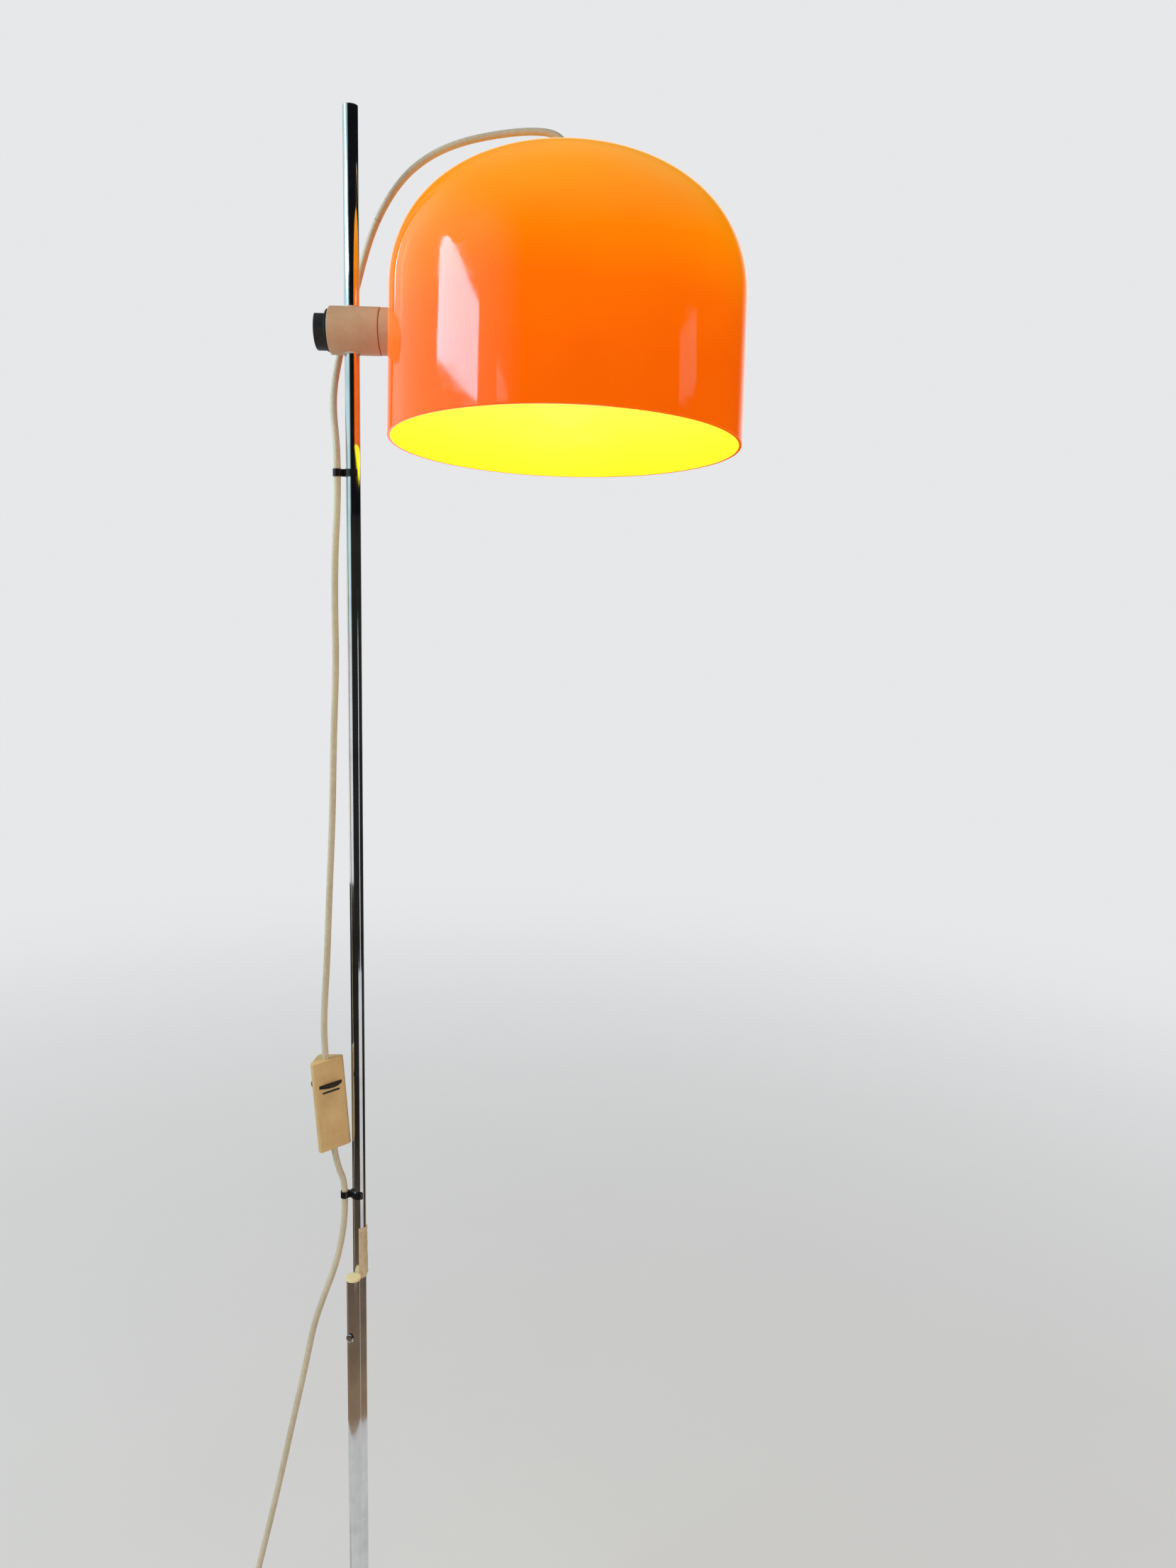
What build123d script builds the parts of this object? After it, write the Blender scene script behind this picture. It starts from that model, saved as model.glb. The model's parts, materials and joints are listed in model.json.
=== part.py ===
from build123d import *
import os
from math import cos, pi, radians, sin, sqrt, tan

os.makedirs("parts", exist_ok=True)

# Mushroom floor lamp: a chrome pole tied to a shorter stub rod on a round base, with a clamp that slides and
# turns on the pole and carries a tilting acrylic shade. Millimetres, +Z up, origin on the floor under the pole.
# The shade hangs toward +X. Its cord leaves the top, runs down the pole through two clips and a dimmer, and
# lies coiled on the floor.

# ---- Driving dimensions ----

# fits
press_gap = 0.02          # radial gap of pieces that are pressed or screwed tight
running_gap = 0.05        # radial gap of pieces that turn or slide
face_gap = 0.3            # gap between faces that move past each other
hole_gap = 0.3            # radial gap of a plain clearance hole
cut_over = 1.0            # how far a cut runs past the faces that it opens

# stand
pole_diameter = 13.0
pole_top_height = 1600.0
tube_wall = 1.2
stub_diameter = 13.0
stub_top_height = 531.0
stub_bearing = -107.5     # direction from the pole to the stub rod, in degrees from +X
rod_spacing_gap = 0.05
pole_cap_flange = 1.0
pole_cap_edge_radius = 0.4
pole_cap_plug_length = 9.0
stub_cap_diameter = 14.7
stub_cap_flange = 2.4
stub_cap_plug_length = 12.0
stub_cap_edge_radius = 0.7

# base
base_diameter = 270.0
base_height = 26.0
cover_wall = 1.2
cover_edge_radius = 11.0
cover_floor_gap = 1.0
pad_thickness = 2.5
pad_margin = 5.0          # the pad ends this far inside the cast weight
weight_gap = 0.6          # between the weight and the cover's side wall
rod_seat_height = 14.0    # height of both rods' feet above the floor
stud_diameter = 8.0
stud_plug_length = 20.0
stud_tail = 0.5           # thread past the nut
nut_recess_diameter = 24.0
nut_recess_depth = 9.0    # above the weight's underside
foot_washer_diameter = 20.0
foot_washer_thickness = 1.5
foot_nut_width = 13.0
foot_nut_height = 6.0

# screws that tie the stub rod to the pole
upper_screw_drop = 62.5   # below the top of the stub rod
lower_screw_height = 110.0
joint_screw_diameter = 4.0
joint_screw_head_diameter = 8.0
joint_screw_head_height = 2.6
joint_screw_head_radius = 1.5
joint_screw_slot_width = 1.1
joint_screw_slot_depth = 1.2
joint_screw_slot_angle = 35.0
joint_screw_tip_gap = 0.5 # thread that stays free at the insert's inner end
insert_diameter = 6.0
insert_length = 7.0
insert_setback = 0.8      # the insert starts this far inside the pole's outer surface

# paper label on the pole
label_top_height = 578.5
label_bottom_height = 525.0
label_thickness = 0.2
label_gap = 0.05
label_start_bearing = -85.0
label_wrap_angle = 88.0
label_flap_length = 3.0   # loose edge that leaves the pole in a straight line

# cable clips
upper_clip_drop = 119.9   # below the arm
lower_clip_height = 613.0
clip_bearing = 191.8      # direction from the pole to the cord
clip_spacing = 13.8       # pole axis to cord axis
clip_height = 6.5
clip_wall = 1.4
clip_cord_wall = 1.0
clip_opening_angle = 126.0
clip_web_width = 3.4

# cord
cord_diameter = 6.0
cord_entry_depth = 8.5    # into the nipple
cord_exit_rise = 5.8      # from the grip nut to where the cord's bend is aimed
dimmer_entry_run = 18.0   # straight run above the dimmer
dimmer_exit_run = 6.0     # and below it
coil_lead = 30.0          # straight runs at the coil's ends and before the plug
coil_tail_lead = 20.0
plug_lead = 19.5

# clamp
arm_height = 1419.4
clamp_diameter = 40.0
clamp_left_reach = 18.5   # pole axis to the face under the knob
clamp_right_reach = 25.5  # pole axis to the face under the swivel collar
clamp_edge_radius = 0.8
sleeve_wall = 1.5
sleeve_length = 39.0
sleeve_slit_width = 2.0
bush_diameter = 12.0
bush_length = 7.0
stud_thread_diameter = 8.0
pad_face_gap = 0.1

# knob
knob_flange_diameter = 35.2
knob_flange_thickness = 2.6
knob_grip_diameter = 33.4
knob_grip_length = 9.2
knob_flat_height = 11.7   # from the knob's axis to the flat of its D
knob_edge_radius = 1.4
knob_flange_edge_radius = 0.65
knob_end_edge_radius = 1.0
knob_ridge_height = 0.6
knob_ridge_width = 4.6
knob_stud_embed = 8.0
knob_seat_gap = 0.2

# swivel
collar_diameter = 39.4
collar_thickness = 7.5    # at its thinnest, on the shade's side wall
swivel_washer_diameter = 33.0
swivel_washer_thickness = 0.5
arm_insert_diameter = 12.0
arm_insert_length = 12.0
arm_bolt_diameter = 8.0
arm_bolt_grip = 11.0      # thread inside the insert
arm_bolt_head_width = 13.0
arm_bolt_head_height = 5.3
saddle_diameter = 26.0
saddle_thickness = 5.0
spring_washer_diameter = 18.0
spring_washer_thickness = 1.2

# shade
shade_diameter = 307.0
shade_wall = 3.0
drum_height = 122.0
dome_height = 112.0
dome_fullness = 0.624     # 0.552 is an ellipse, more is squarer
rim_band = 0.01           # how near the rim an edge lies to count as its edge
rim_edge_radius = 0.9
arm_above_rim = 93.0
shade_tilt = 4.5          # degrees, the opening toward -Y

# cord outlet and lampholder, along the shade's axis
nipple_diameter = 10.0
nipple_wall = 1.4
nipple_length = 18.0
nipple_rise = 2.6         # above the shade's outer face
grip_nut_diameter = 22.0
grip_nut_height = 3.5
grip_nut_edge_radius = 1.4
inner_washer_diameter = 24.0
inner_washer_thickness = 1.5
dome_sag_gap = 0.25       # the dome falls away this much under the flat washers
lock_nut_width = 14.0
lock_nut_height = 3.0
holder_diameter = 40.0
holder_cap_height = 24.0
holder_cap_neck_diameter = 20.0
holder_cap_neck_height = 7.0
holder_cap_rim_height = 6.0
holder_body_height = 36.0
holder_wall = 2.0
holder_edge_radius = 0.6
ceramic_diameter = 33.0
ceramic_height = 10.0
shell_diameter = 28.6     # threaded shell that takes the bulb
shell_wall = 0.5
shell_height = 20.0
contact_width = 5.0
contact_length = 16.0
contact_thickness = 0.6
contact_bend_height = 2.2
contact_slot_gap = 0.5    # round the contact strip, in the ceramic

# bulb
bulb_cap_diameter = 26.2
bulb_cap_height = 25.0
bulb_cap_edge_radius = 3.9
bulb_contact_diameter = 9.0
bulb_contact_height = 2.0
bulb_neck_diameter = 25.0
bulb_diameter = 60.0
bulb_length = 82.0        # glass below the cap
bulb_wall = 1.0
bulb_neck_seat = 8.0      # glass inside the cap
bulb_shoulder_angle = 35.0           # where the ball ends, above its middle
bulb_shoulder_pull = 12.0 # how far the glass keeps the ball's and the neck's directions
bulb_neck_pull = 14.0

# dimmer: a three-sided housing that hangs on the cord, its wide face front right
dimmer_foot = (-22.0, -9.7, 666.3)   # where the cord leaves it
dimmer_length = 90.0
dimmer_lean = 4.3         # degrees, the top away from the pole
dimmer_face_bearing = 39.0           # along the wide face, from +X
dimmer_face_width = 43.0  # sharp corner to sharp corner
dimmer_corner_radius = 3.5
dimmer_end_radius = 1.0
dimmer_wall = 2.0
dimmer_face_depth = 5.0   # thickness of the front tray, from the wide face
dimmer_cord_inset = 5.5   # cord axis behind the wide face
wheel_diameter = 28.6
wheel_thickness = 2.6
wheel_below_top = 24.5
wheel_slot_gap = 0.4
wheel_hub_diameter = 7.0
wheel_hub_length = 4.0
wheel_edge_radius = 0.5
regulator_diameter = 13.0
regulator_height = 8.0
board_thickness = 1.6
cord_clamp_length = 9.0
cord_clamp_width = 12.0
cord_clamp_depth = 9.0

# plug
plug_width = 34.0
plug_thickness = 13.6
plug_length = 36.0
plug_nose_width = 18.2
plug_nose_thickness = 12.2
plug_taper_length = 14.4
plug_edge_radius = 3.0
plug_pin_diameter = 4.0
plug_pin_length = 19.0
plug_pin_spacing = 18.6
plug_pin_tip_radius = 1.2
relief_length = 24.0
relief_end_diameter = 8.0
relief_root_diameter = 11.0
plug_bearing = 38.0       # clear of the base in line with the pins
plug_entry = (-205.5, 52.7, plug_thickness / 2)   # the cord's end of the strain relief

# coil of the unseen length
coil_outer_radius = 42.5  # to the middle of the cord
coil_pitch = 6.8          # between turns and between layers
coil_turns_in = 3.0
coil_turns_out = 2.5
coil_centre = (-258.0, -12.0)
coil_start_bearing = -78.2
coil_gap_samples = 1200
cord_floor_gap = 0.05

# ---- Values that follow from them ----

joint_screw_heights = (stub_top_height - upper_screw_drop, lower_screw_height)
upper_clip_height = arm_height - upper_clip_drop
cord_floor_height = cord_diameter / 2 + cord_floor_gap
pole_radius = pole_diameter / 2
stub_radius = stub_diameter / 2
cord_radius = cord_diameter / 2
rod_spacing = pole_radius + stub_radius + rod_spacing_gap
stub_x = rod_spacing * cos(radians(stub_bearing))
stub_y = rod_spacing * sin(radians(stub_bearing))
clip_x = clip_spacing * cos(radians(clip_bearing))
clip_y = clip_spacing * sin(radians(clip_bearing))

weight_radius = base_diameter / 2 - cover_wall - weight_gap
weight_top = base_height - cover_wall
sleeve_outer_radius = pole_radius + running_gap + sleeve_wall

shade_radius = shade_diameter / 2
shade_wall_x = clamp_right_reach + swivel_washer_thickness + collar_thickness
shade_x = shade_wall_x + shade_radius
tilt = radians(shade_tilt)
shade_pivot = Vector(shade_x, 0, arm_height)
shade_up = Vector(0, sin(tilt), cos(tilt))
shade_plane = Plane(origin=shade_pivot, x_dir=(1, 0, 0), z_dir=shade_up)
shade_section = Plane(origin=shade_pivot, x_dir=(1, 0, 0), z_dir=(0, -cos(tilt), sin(tilt)))
shade_axis = Axis(shade_pivot, shade_up)
rim_level = -arm_above_rim
dome_base_level = rim_level + drum_height
dome_top_level = dome_base_level + dome_height
dome_inner_level = dome_top_level - shade_wall

arm_plane = Plane(origin=(0, 0, arm_height), x_dir=(0, 1, 0), z_dir=(1, 0, 0))


def finish(piece, name):
    """Labels a finished piece and writes it."""
    piece.part.label = name
    export_step(piece.part, f"parts/{name}.step")


def disc(plane, radius, height, mode=Mode.ADD):
    """A cylinder on a plane, inside the piece that is being built."""
    with BuildSketch(plane) as outline:
        Circle(radius)
    extrude(outline.sketch, amount=height, mode=mode)


def ring(plane, outer_radius, inner_radius, height):
    """A round tube on a plane, inside the piece that is being built."""
    with BuildSketch(plane) as outline:
        Circle(outer_radius)
        Circle(inner_radius, mode=Mode.SUBTRACT)
    extrude(outline.sketch, amount=height)


# ---- Base ----

with BuildPart() as base_cover:
    disc(Plane.XY.offset(cover_floor_gap), base_diameter / 2, base_height - cover_floor_gap)
    fillet(base_cover.edges().sort_by(Axis.Z)[-1], cover_edge_radius)
    offset(amount=-cover_wall, openings=base_cover.faces().sort_by(Axis.Z)[0])
    with Locations((0, 0, base_height)):
        Hole(pole_radius + hole_gap, depth=2 * cover_wall)
    with Locations((stub_x, stub_y, base_height)):
        Hole(stub_radius + hole_gap, depth=2 * cover_wall)
finish(base_cover, "base_cover")

with BuildPart() as base_weight:
    disc(Plane.XY.offset(pad_thickness), weight_radius, weight_top - pad_thickness)
    weight_edge = base_weight.edges().filter_by(GeomType.CIRCLE).sort_by(Axis.Z)[-1]
    fillet(weight_edge, cover_edge_radius)
    disc(Plane.XY.offset(rod_seat_height), pole_radius + press_gap, base_height, Mode.SUBTRACT)
    disc(Plane((stub_x, stub_y, rod_seat_height)), stub_radius + press_gap, base_height, Mode.SUBTRACT)
    disc(Plane((stub_x, stub_y, 0)), stud_diameter / 2 + running_gap, base_height, Mode.SUBTRACT)
    disc(Plane((stub_x, stub_y, 0)), nut_recess_diameter / 2, pad_thickness + nut_recess_depth, Mode.SUBTRACT)
finish(base_weight, "base_weight")

with BuildPart() as base_pad:
    disc(Plane.XY, weight_radius - pad_margin, pad_thickness)
finish(base_pad, "base_pad")

# ---- Stub rod and its foot ----

stub_tube_top = stub_top_height - stub_cap_flange
joint_direction = Vector(cos(radians(stub_bearing)), sin(radians(stub_bearing)), 0)


def joint_plane(height):
    """Plane across the pole's axis that faces the stub rod."""
    return Plane(origin=(0, 0, height), x_dir=(0, 0, 1), z_dir=joint_direction)


with BuildPart() as stub_rod:
    ring(Plane((stub_x, stub_y, rod_seat_height)), stub_radius, stub_radius - tube_wall,
         stub_tube_top - rod_seat_height)
    for height in joint_screw_heights:
        disc(joint_plane(height).offset(pole_radius), joint_screw_diameter / 2 + running_gap,
             stub_diameter + 2 * rod_spacing_gap, Mode.SUBTRACT)
finish(stub_rod, "stub_rod")

stub_bore_radius = stub_radius - tube_wall - press_gap
nut_seat = pad_thickness + nut_recess_depth
with BuildPart() as stub_stud:
    disc(Plane((stub_x, stub_y, rod_seat_height)), stub_bore_radius, stud_plug_length)
    stud_end = nut_seat - foot_washer_thickness - foot_nut_height - stud_tail
    disc(Plane((stub_x, stub_y, stud_end)), stud_diameter / 2, rod_seat_height - stud_end)
finish(stub_stud, "stub_stud")

with BuildPart() as stub_washer:
    ring(Plane((stub_x, stub_y, nut_seat - foot_washer_thickness)), foot_washer_diameter / 2,
         stud_diameter / 2 + running_gap, foot_washer_thickness)
finish(stub_washer, "stub_washer")

with BuildPart() as stub_nut:
    with BuildSketch(Plane((stub_x, stub_y, nut_seat - foot_washer_thickness - foot_nut_height))):
        RegularPolygon(foot_nut_width / 2, 6, major_radius=False)
        Circle(stud_diameter / 2 + press_gap, mode=Mode.SUBTRACT)
    extrude(amount=foot_nut_height)
finish(stub_nut, "stub_nut")

with BuildPart() as stub_cap:
    disc(Plane((stub_x, stub_y, stub_tube_top)), stub_cap_diameter / 2, stub_cap_flange)
    fillet(stub_cap.edges().sort_by(Axis.Z)[-1], stub_cap_edge_radius)
    disc(Plane((stub_x, stub_y, stub_tube_top - stub_cap_plug_length)), stub_bore_radius, stub_cap_plug_length)
    disc(Plane.XY.offset(stub_tube_top - stub_cap_plug_length), pole_radius + rod_spacing_gap,
         stub_cap_plug_length + stub_cap_flange + cut_over, Mode.SUBTRACT)
finish(stub_cap, "stub_cap")

# ---- Pole ----

pole_tube_top = pole_top_height - pole_cap_flange
pole_bore_radius = pole_radius - tube_wall

with BuildPart() as pole:
    ring(Plane.XY.offset(rod_seat_height), pole_radius, pole_bore_radius, pole_tube_top - rod_seat_height)
    for height in joint_screw_heights:
        disc(joint_plane(height), insert_diameter / 2 + press_gap, pole_diameter, Mode.SUBTRACT)
finish(pole, "pole")

with BuildPart() as pole_cap:
    disc(Plane.XY.offset(pole_tube_top), pole_radius, pole_cap_flange)
    fillet(pole_cap.edges().sort_by(Axis.Z)[-1], pole_cap_edge_radius)
    disc(Plane.XY.offset(pole_tube_top - pole_cap_plug_length), pole_bore_radius - press_gap,
         pole_cap_plug_length)
finish(pole_cap, "pole_cap")

insert_start = pole_radius - insert_setback - insert_length
with BuildPart() as joint_inserts:
    for height in joint_screw_heights:
        ring(joint_plane(height).offset(insert_start), insert_diameter / 2,
             joint_screw_diameter / 2 + press_gap, insert_length)
finish(joint_inserts, "joint_inserts")

head_seat = rod_spacing + stub_radius
screw_tip = insert_start + joint_screw_tip_gap
with BuildPart() as joint_screws:
    for height in joint_screw_heights:
        plane = joint_plane(height)
        disc(plane.offset(screw_tip), joint_screw_diameter / 2, head_seat - screw_tip)
        disc(plane.offset(head_seat), joint_screw_head_diameter / 2, joint_screw_head_height)
        head_edges = joint_screws.edges(Select.LAST).filter_by(GeomType.CIRCLE)
        fillet(head_edges.sort_by(Axis(plane.origin, joint_direction))[-1], joint_screw_head_radius)
        with BuildSketch(plane.offset(head_seat + joint_screw_head_height - joint_screw_slot_depth)):
            Rectangle(2 * joint_screw_head_diameter, joint_screw_slot_width, rotation=joint_screw_slot_angle)
        extrude(amount=joint_screw_slot_depth, mode=Mode.SUBTRACT)
finish(joint_screws, "joint_screws")

# ---- Paper label: wraps the pole's right side, its last edge stands off in a straight line ----

label_inner = pole_radius + label_gap
label_outer = label_inner + label_thickness
label_end_bearing = label_start_bearing + label_wrap_angle


def polar(radius, bearing):
    """A point at a distance and bearing from the pole's axis."""
    return Vector(radius * cos(radians(bearing)), radius * sin(radians(bearing)))


with BuildPart() as paper_label:
    with BuildSketch(Plane.XY.offset(label_bottom_height)):
        with BuildLine():
            middle_bearing = label_start_bearing + label_wrap_angle / 2
            flap = polar(label_flap_length, label_end_bearing + 90)
            inner_end = polar(label_inner, label_end_bearing)
            outer_end = polar(label_outer, label_end_bearing)
            inner_start = polar(label_inner, label_start_bearing)
            outer_start = polar(label_outer, label_start_bearing)
            ThreePointArc(inner_start, polar(label_inner, middle_bearing), inner_end)
            Line(inner_end, inner_end + flap)
            Line(inner_end + flap, outer_end + flap)
            Line(outer_end + flap, outer_end)
            ThreePointArc(outer_end, polar(label_outer, middle_bearing), outer_start)
            Line(outer_start, inner_start)
        make_face()
    extrude(amount=label_top_height - label_bottom_height)
finish(paper_label, "paper_label")

# ---- Cable clips: an open loop snaps on the pole, a closed one holds the cord ----


def cable_clip(name, height):
    """A figure-8 clip whose opening faces away from the cord."""
    plane = Plane(origin=(0, 0, height - clip_height / 2), x_dir=polar(1, clip_bearing), z_dir=(0, 0, 1))
    reach = pole_radius + running_gap + clip_wall
    with BuildPart() as clip:
        with BuildSketch(plane):
            Circle(reach)
            with Locations((clip_spacing, 0)):
                Circle(cord_radius + running_gap + clip_cord_wall)
            with Locations((clip_spacing / 2, 0)):
                Rectangle(clip_spacing, clip_web_width)
            Circle(pole_radius + running_gap, mode=Mode.SUBTRACT)
            with Locations((clip_spacing, 0)):
                Circle(cord_radius + running_gap, mode=Mode.SUBTRACT)
            half_opening = radians(clip_opening_angle / 2)
            with BuildLine():
                Polyline((0, 0), (-2 * reach * cos(half_opening), 2 * reach * sin(half_opening)),
                         (-4 * reach, 0), (-2 * reach * cos(half_opening), -2 * reach * sin(half_opening)),
                         close=True)
            make_face(mode=Mode.SUBTRACT)
        extrude(amount=clip_height)
    finish(clip, name)


cable_clip("cable_clip_upper", upper_clip_height)
cable_clip("cable_clip_lower", lower_clip_height)

# ---- Clamp: sleeve on the pole, body round it, knob on the left ----

with BuildPart() as clamp_sleeve:
    ring(Plane.XY.offset(arm_height - sleeve_length / 2), sleeve_outer_radius, pole_radius + running_gap,
         sleeve_length)
    with BuildSketch(Plane.XY.offset(arm_height - sleeve_length / 2)):
        with Locations((pole_radius + sleeve_wall / 2, 0)):
            Rectangle(2 * sleeve_wall, sleeve_slit_width)
    extrude(amount=sleeve_length, mode=Mode.SUBTRACT)
finish(clamp_sleeve, "clamp_sleeve")

body_bore_radius = sleeve_outer_radius + press_gap
with BuildPart() as clamp_body:
    disc(arm_plane.offset(-clamp_left_reach), clamp_diameter / 2, clamp_left_reach + clamp_right_reach)
    fillet(clamp_body.edges().filter_by(GeomType.CIRCLE), clamp_edge_radius)
    disc(Plane.XY.offset(arm_height - clamp_diameter), body_bore_radius, 2 * clamp_diameter, Mode.SUBTRACT)
    disc(arm_plane.offset(-clamp_left_reach), bush_diameter / 2 + press_gap, clamp_left_reach, Mode.SUBTRACT)
    disc(arm_plane.offset(clamp_right_reach - arm_insert_length), arm_insert_diameter / 2 + press_gap,
         arm_insert_length, Mode.SUBTRACT)
finish(clamp_body, "clamp_body")

with BuildPart() as clamp_bush:
    ring(arm_plane.offset(-clamp_left_reach), bush_diameter / 2, stud_thread_diameter / 2 + running_gap,
         bush_length)
finish(clamp_bush, "clamp_bush")

pad_back = -clamp_left_reach + bush_length + pad_face_gap
with BuildPart() as pressure_pad:
    disc(arm_plane.offset(pad_back), bush_diameter / 2 - running_gap, -pad_back)
    disc(Plane.XY.offset(arm_height - clamp_diameter / 2), body_bore_radius, clamp_diameter, Mode.SUBTRACT)
finish(pressure_pad, "pressure_pad")

knob_face = -clamp_left_reach - knob_seat_gap
knob_end = knob_face - knob_flange_thickness - knob_grip_length
with BuildPart() as clamp_knob:
    disc(arm_plane.offset(knob_face - knob_flange_thickness), knob_flange_diameter / 2, knob_flange_thickness)
    fillet(clamp_knob.edges().filter_by(GeomType.CIRCLE), knob_flange_edge_radius)
    with BuildSketch(arm_plane.offset(knob_end)) as grip_outline:
        Circle(knob_grip_diameter / 2)
        with Locations((0, knob_flat_height + knob_grip_diameter / 2)):
            Rectangle(2 * knob_grip_diameter, knob_grip_diameter, mode=Mode.SUBTRACT)
        fillet(grip_outline.vertices(), knob_edge_radius)
    extrude(amount=knob_grip_length)
    fillet(clamp_knob.faces().sort_by(Axis.X)[0].edges(), knob_end_edge_radius)
    with BuildSketch(arm_plane.offset(knob_end - knob_ridge_height)) as ridge_outline:
        Circle(knob_grip_diameter / 2 - 2 * knob_edge_radius)
        with Locations((0, knob_flat_height - knob_edge_radius - knob_ridge_width / 2)):
            Rectangle(2 * knob_grip_diameter, knob_ridge_width, mode=Mode.INTERSECT)
        fillet(ridge_outline.vertices(), knob_ridge_height)
    extrude(amount=2 * knob_ridge_height)
    disc(arm_plane.offset(knob_face - knob_stud_embed), stud_thread_diameter / 2 + press_gap, knob_stud_embed,
         Mode.SUBTRACT)
finish(clamp_knob, "clamp_knob")

stud_tip = pad_back - knob_seat_gap
with BuildPart() as knob_stud:
    disc(arm_plane.offset(knob_face - knob_stud_embed), stud_thread_diameter / 2,
         stud_tip - knob_face + knob_stud_embed)
finish(knob_stud, "knob_stud")

# ---- Swivel: a bolt from inside the shade holds collar and shade against the clamp ----

with BuildPart() as arm_insert:
    ring(arm_plane.offset(clamp_right_reach - arm_insert_length), arm_insert_diameter / 2,
         arm_bolt_diameter / 2 + press_gap, arm_insert_length)
finish(arm_insert, "arm_insert")

with BuildPart() as swivel_washer:
    ring(arm_plane.offset(clamp_right_reach), swivel_washer_diameter / 2, arm_bolt_diameter / 2 + running_gap,
         swivel_washer_thickness)
finish(swivel_washer, "swivel_washer")

collar_face = clamp_right_reach + swivel_washer_thickness
bolt_hole_radius = arm_bolt_diameter / 2 + running_gap


def shade_core(radius, mode):
    """The solid cylinder inside the shade's drum, for pieces that sit on its wall."""
    disc(shade_plane.offset(-collar_diameter), radius, 2 * collar_diameter, mode)


with BuildPart() as swivel_collar:
    ring(arm_plane.offset(collar_face), collar_diameter / 2, bolt_hole_radius, 2 * collar_thickness)
    fillet(swivel_collar.edges().filter_by(GeomType.CIRCLE).group_by(Axis.X)[0].sort_by(SortBy.LENGTH)[-1],
           clamp_edge_radius)
    shade_core(shade_radius, Mode.SUBTRACT)
finish(swivel_collar, "swivel_collar")

saddle_start = shade_wall_x + shade_wall
with BuildPart() as inner_saddle:
    ring(arm_plane.offset(shade_wall_x), saddle_diameter / 2, bolt_hole_radius, shade_wall + saddle_thickness)
    shade_core(shade_radius - shade_wall, Mode.INTERSECT)
finish(inner_saddle, "inner_saddle")

washer_start = saddle_start + saddle_thickness
with BuildPart() as spring_washer:
    ring(arm_plane.offset(washer_start), spring_washer_diameter / 2, arm_bolt_diameter / 2 + press_gap,
         spring_washer_thickness)
finish(spring_washer, "spring_washer")

bolt_head_start = washer_start + spring_washer_thickness
bolt_tip = clamp_right_reach - arm_bolt_grip
with BuildPart() as arm_bolt:
    disc(arm_plane.offset(bolt_tip), arm_bolt_diameter / 2, bolt_head_start - bolt_tip)
    with BuildSketch(arm_plane.offset(bolt_head_start)):
        RegularPolygon(arm_bolt_head_width / 2, 6, major_radius=False)
    extrude(amount=arm_bolt_head_height)
finish(arm_bolt, "arm_bolt")

# ---- Shade: a drum with a full dome, one acrylic wall ----


def shade_outline(radius, dome, foot):
    """Half section of the shade's inside or outside, from the rim to the top."""
    top = dome_base_level + dome
    Line((0, foot), (radius, foot))
    Line((radius, foot), (radius, dome_base_level))
    Bezier((radius, dome_base_level), (radius, dome_base_level + dome_fullness * dome),
           (dome_fullness * radius, top), (0, top))
    Line((0, top), (0, foot))


nipple_radius = nipple_diameter / 2
with BuildPart() as shade:
    with BuildSketch(shade_section):
        with BuildLine():
            shade_outline(shade_radius, dome_height, rim_level)
        make_face()
        with BuildLine():
            shade_outline(shade_radius - shade_wall, dome_height - shade_wall, rim_level - cut_over)
        make_face(mode=Mode.SUBTRACT)
    revolve(axis=shade_axis)
    rim_edges = shade.edges().filter_by(GeomType.CIRCLE).filter_by_position(
        shade_axis, rim_level - rim_band, rim_level + rim_band)
    fillet(rim_edges, rim_edge_radius)
    disc(shade_plane.offset(dome_base_level), nipple_radius + running_gap, 2 * dome_height, Mode.SUBTRACT)
    disc(arm_plane, bolt_hole_radius, shade_x, Mode.SUBTRACT)
finish(shade, "shade")

# ---- Cord outlet and lampholder ----

nipple_top = dome_top_level + nipple_rise
nipple_bore_radius = nipple_radius - nipple_wall
with BuildPart() as threaded_nipple:
    ring(shade_plane.offset(nipple_top - nipple_length), nipple_radius, nipple_bore_radius, nipple_length)
finish(threaded_nipple, "threaded_nipple")

cord_exit_level = dome_top_level + grip_nut_height
with BuildPart() as cord_grip_nut:
    disc(shade_plane.offset(dome_top_level), grip_nut_diameter / 2, grip_nut_height)
    fillet(cord_grip_nut.edges().sort_by(shade_axis)[-1], grip_nut_edge_radius)
    disc(shade_plane.offset(dome_top_level), nipple_radius + press_gap, nipple_rise + press_gap, Mode.SUBTRACT)
    disc(shade_plane.offset(dome_top_level), cord_radius + hole_gap, 2 * grip_nut_height, Mode.SUBTRACT)
finish(cord_grip_nut, "cord_grip_nut")

inner_washer_top = dome_inner_level - dome_sag_gap
with BuildPart() as inner_washer:
    ring(shade_plane.offset(inner_washer_top - inner_washer_thickness), inner_washer_diameter / 2,
         nipple_radius + running_gap, inner_washer_thickness)
finish(inner_washer, "inner_washer")

lock_nut_level = inner_washer_top - inner_washer_thickness - lock_nut_height
with BuildPart() as lock_nut:
    with BuildSketch(shade_plane.offset(lock_nut_level)):
        RegularPolygon(lock_nut_width / 2, 6, major_radius=False)
        Circle(nipple_radius + press_gap, mode=Mode.SUBTRACT)
    extrude(amount=lock_nut_height)
finish(lock_nut, "lock_nut")

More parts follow.
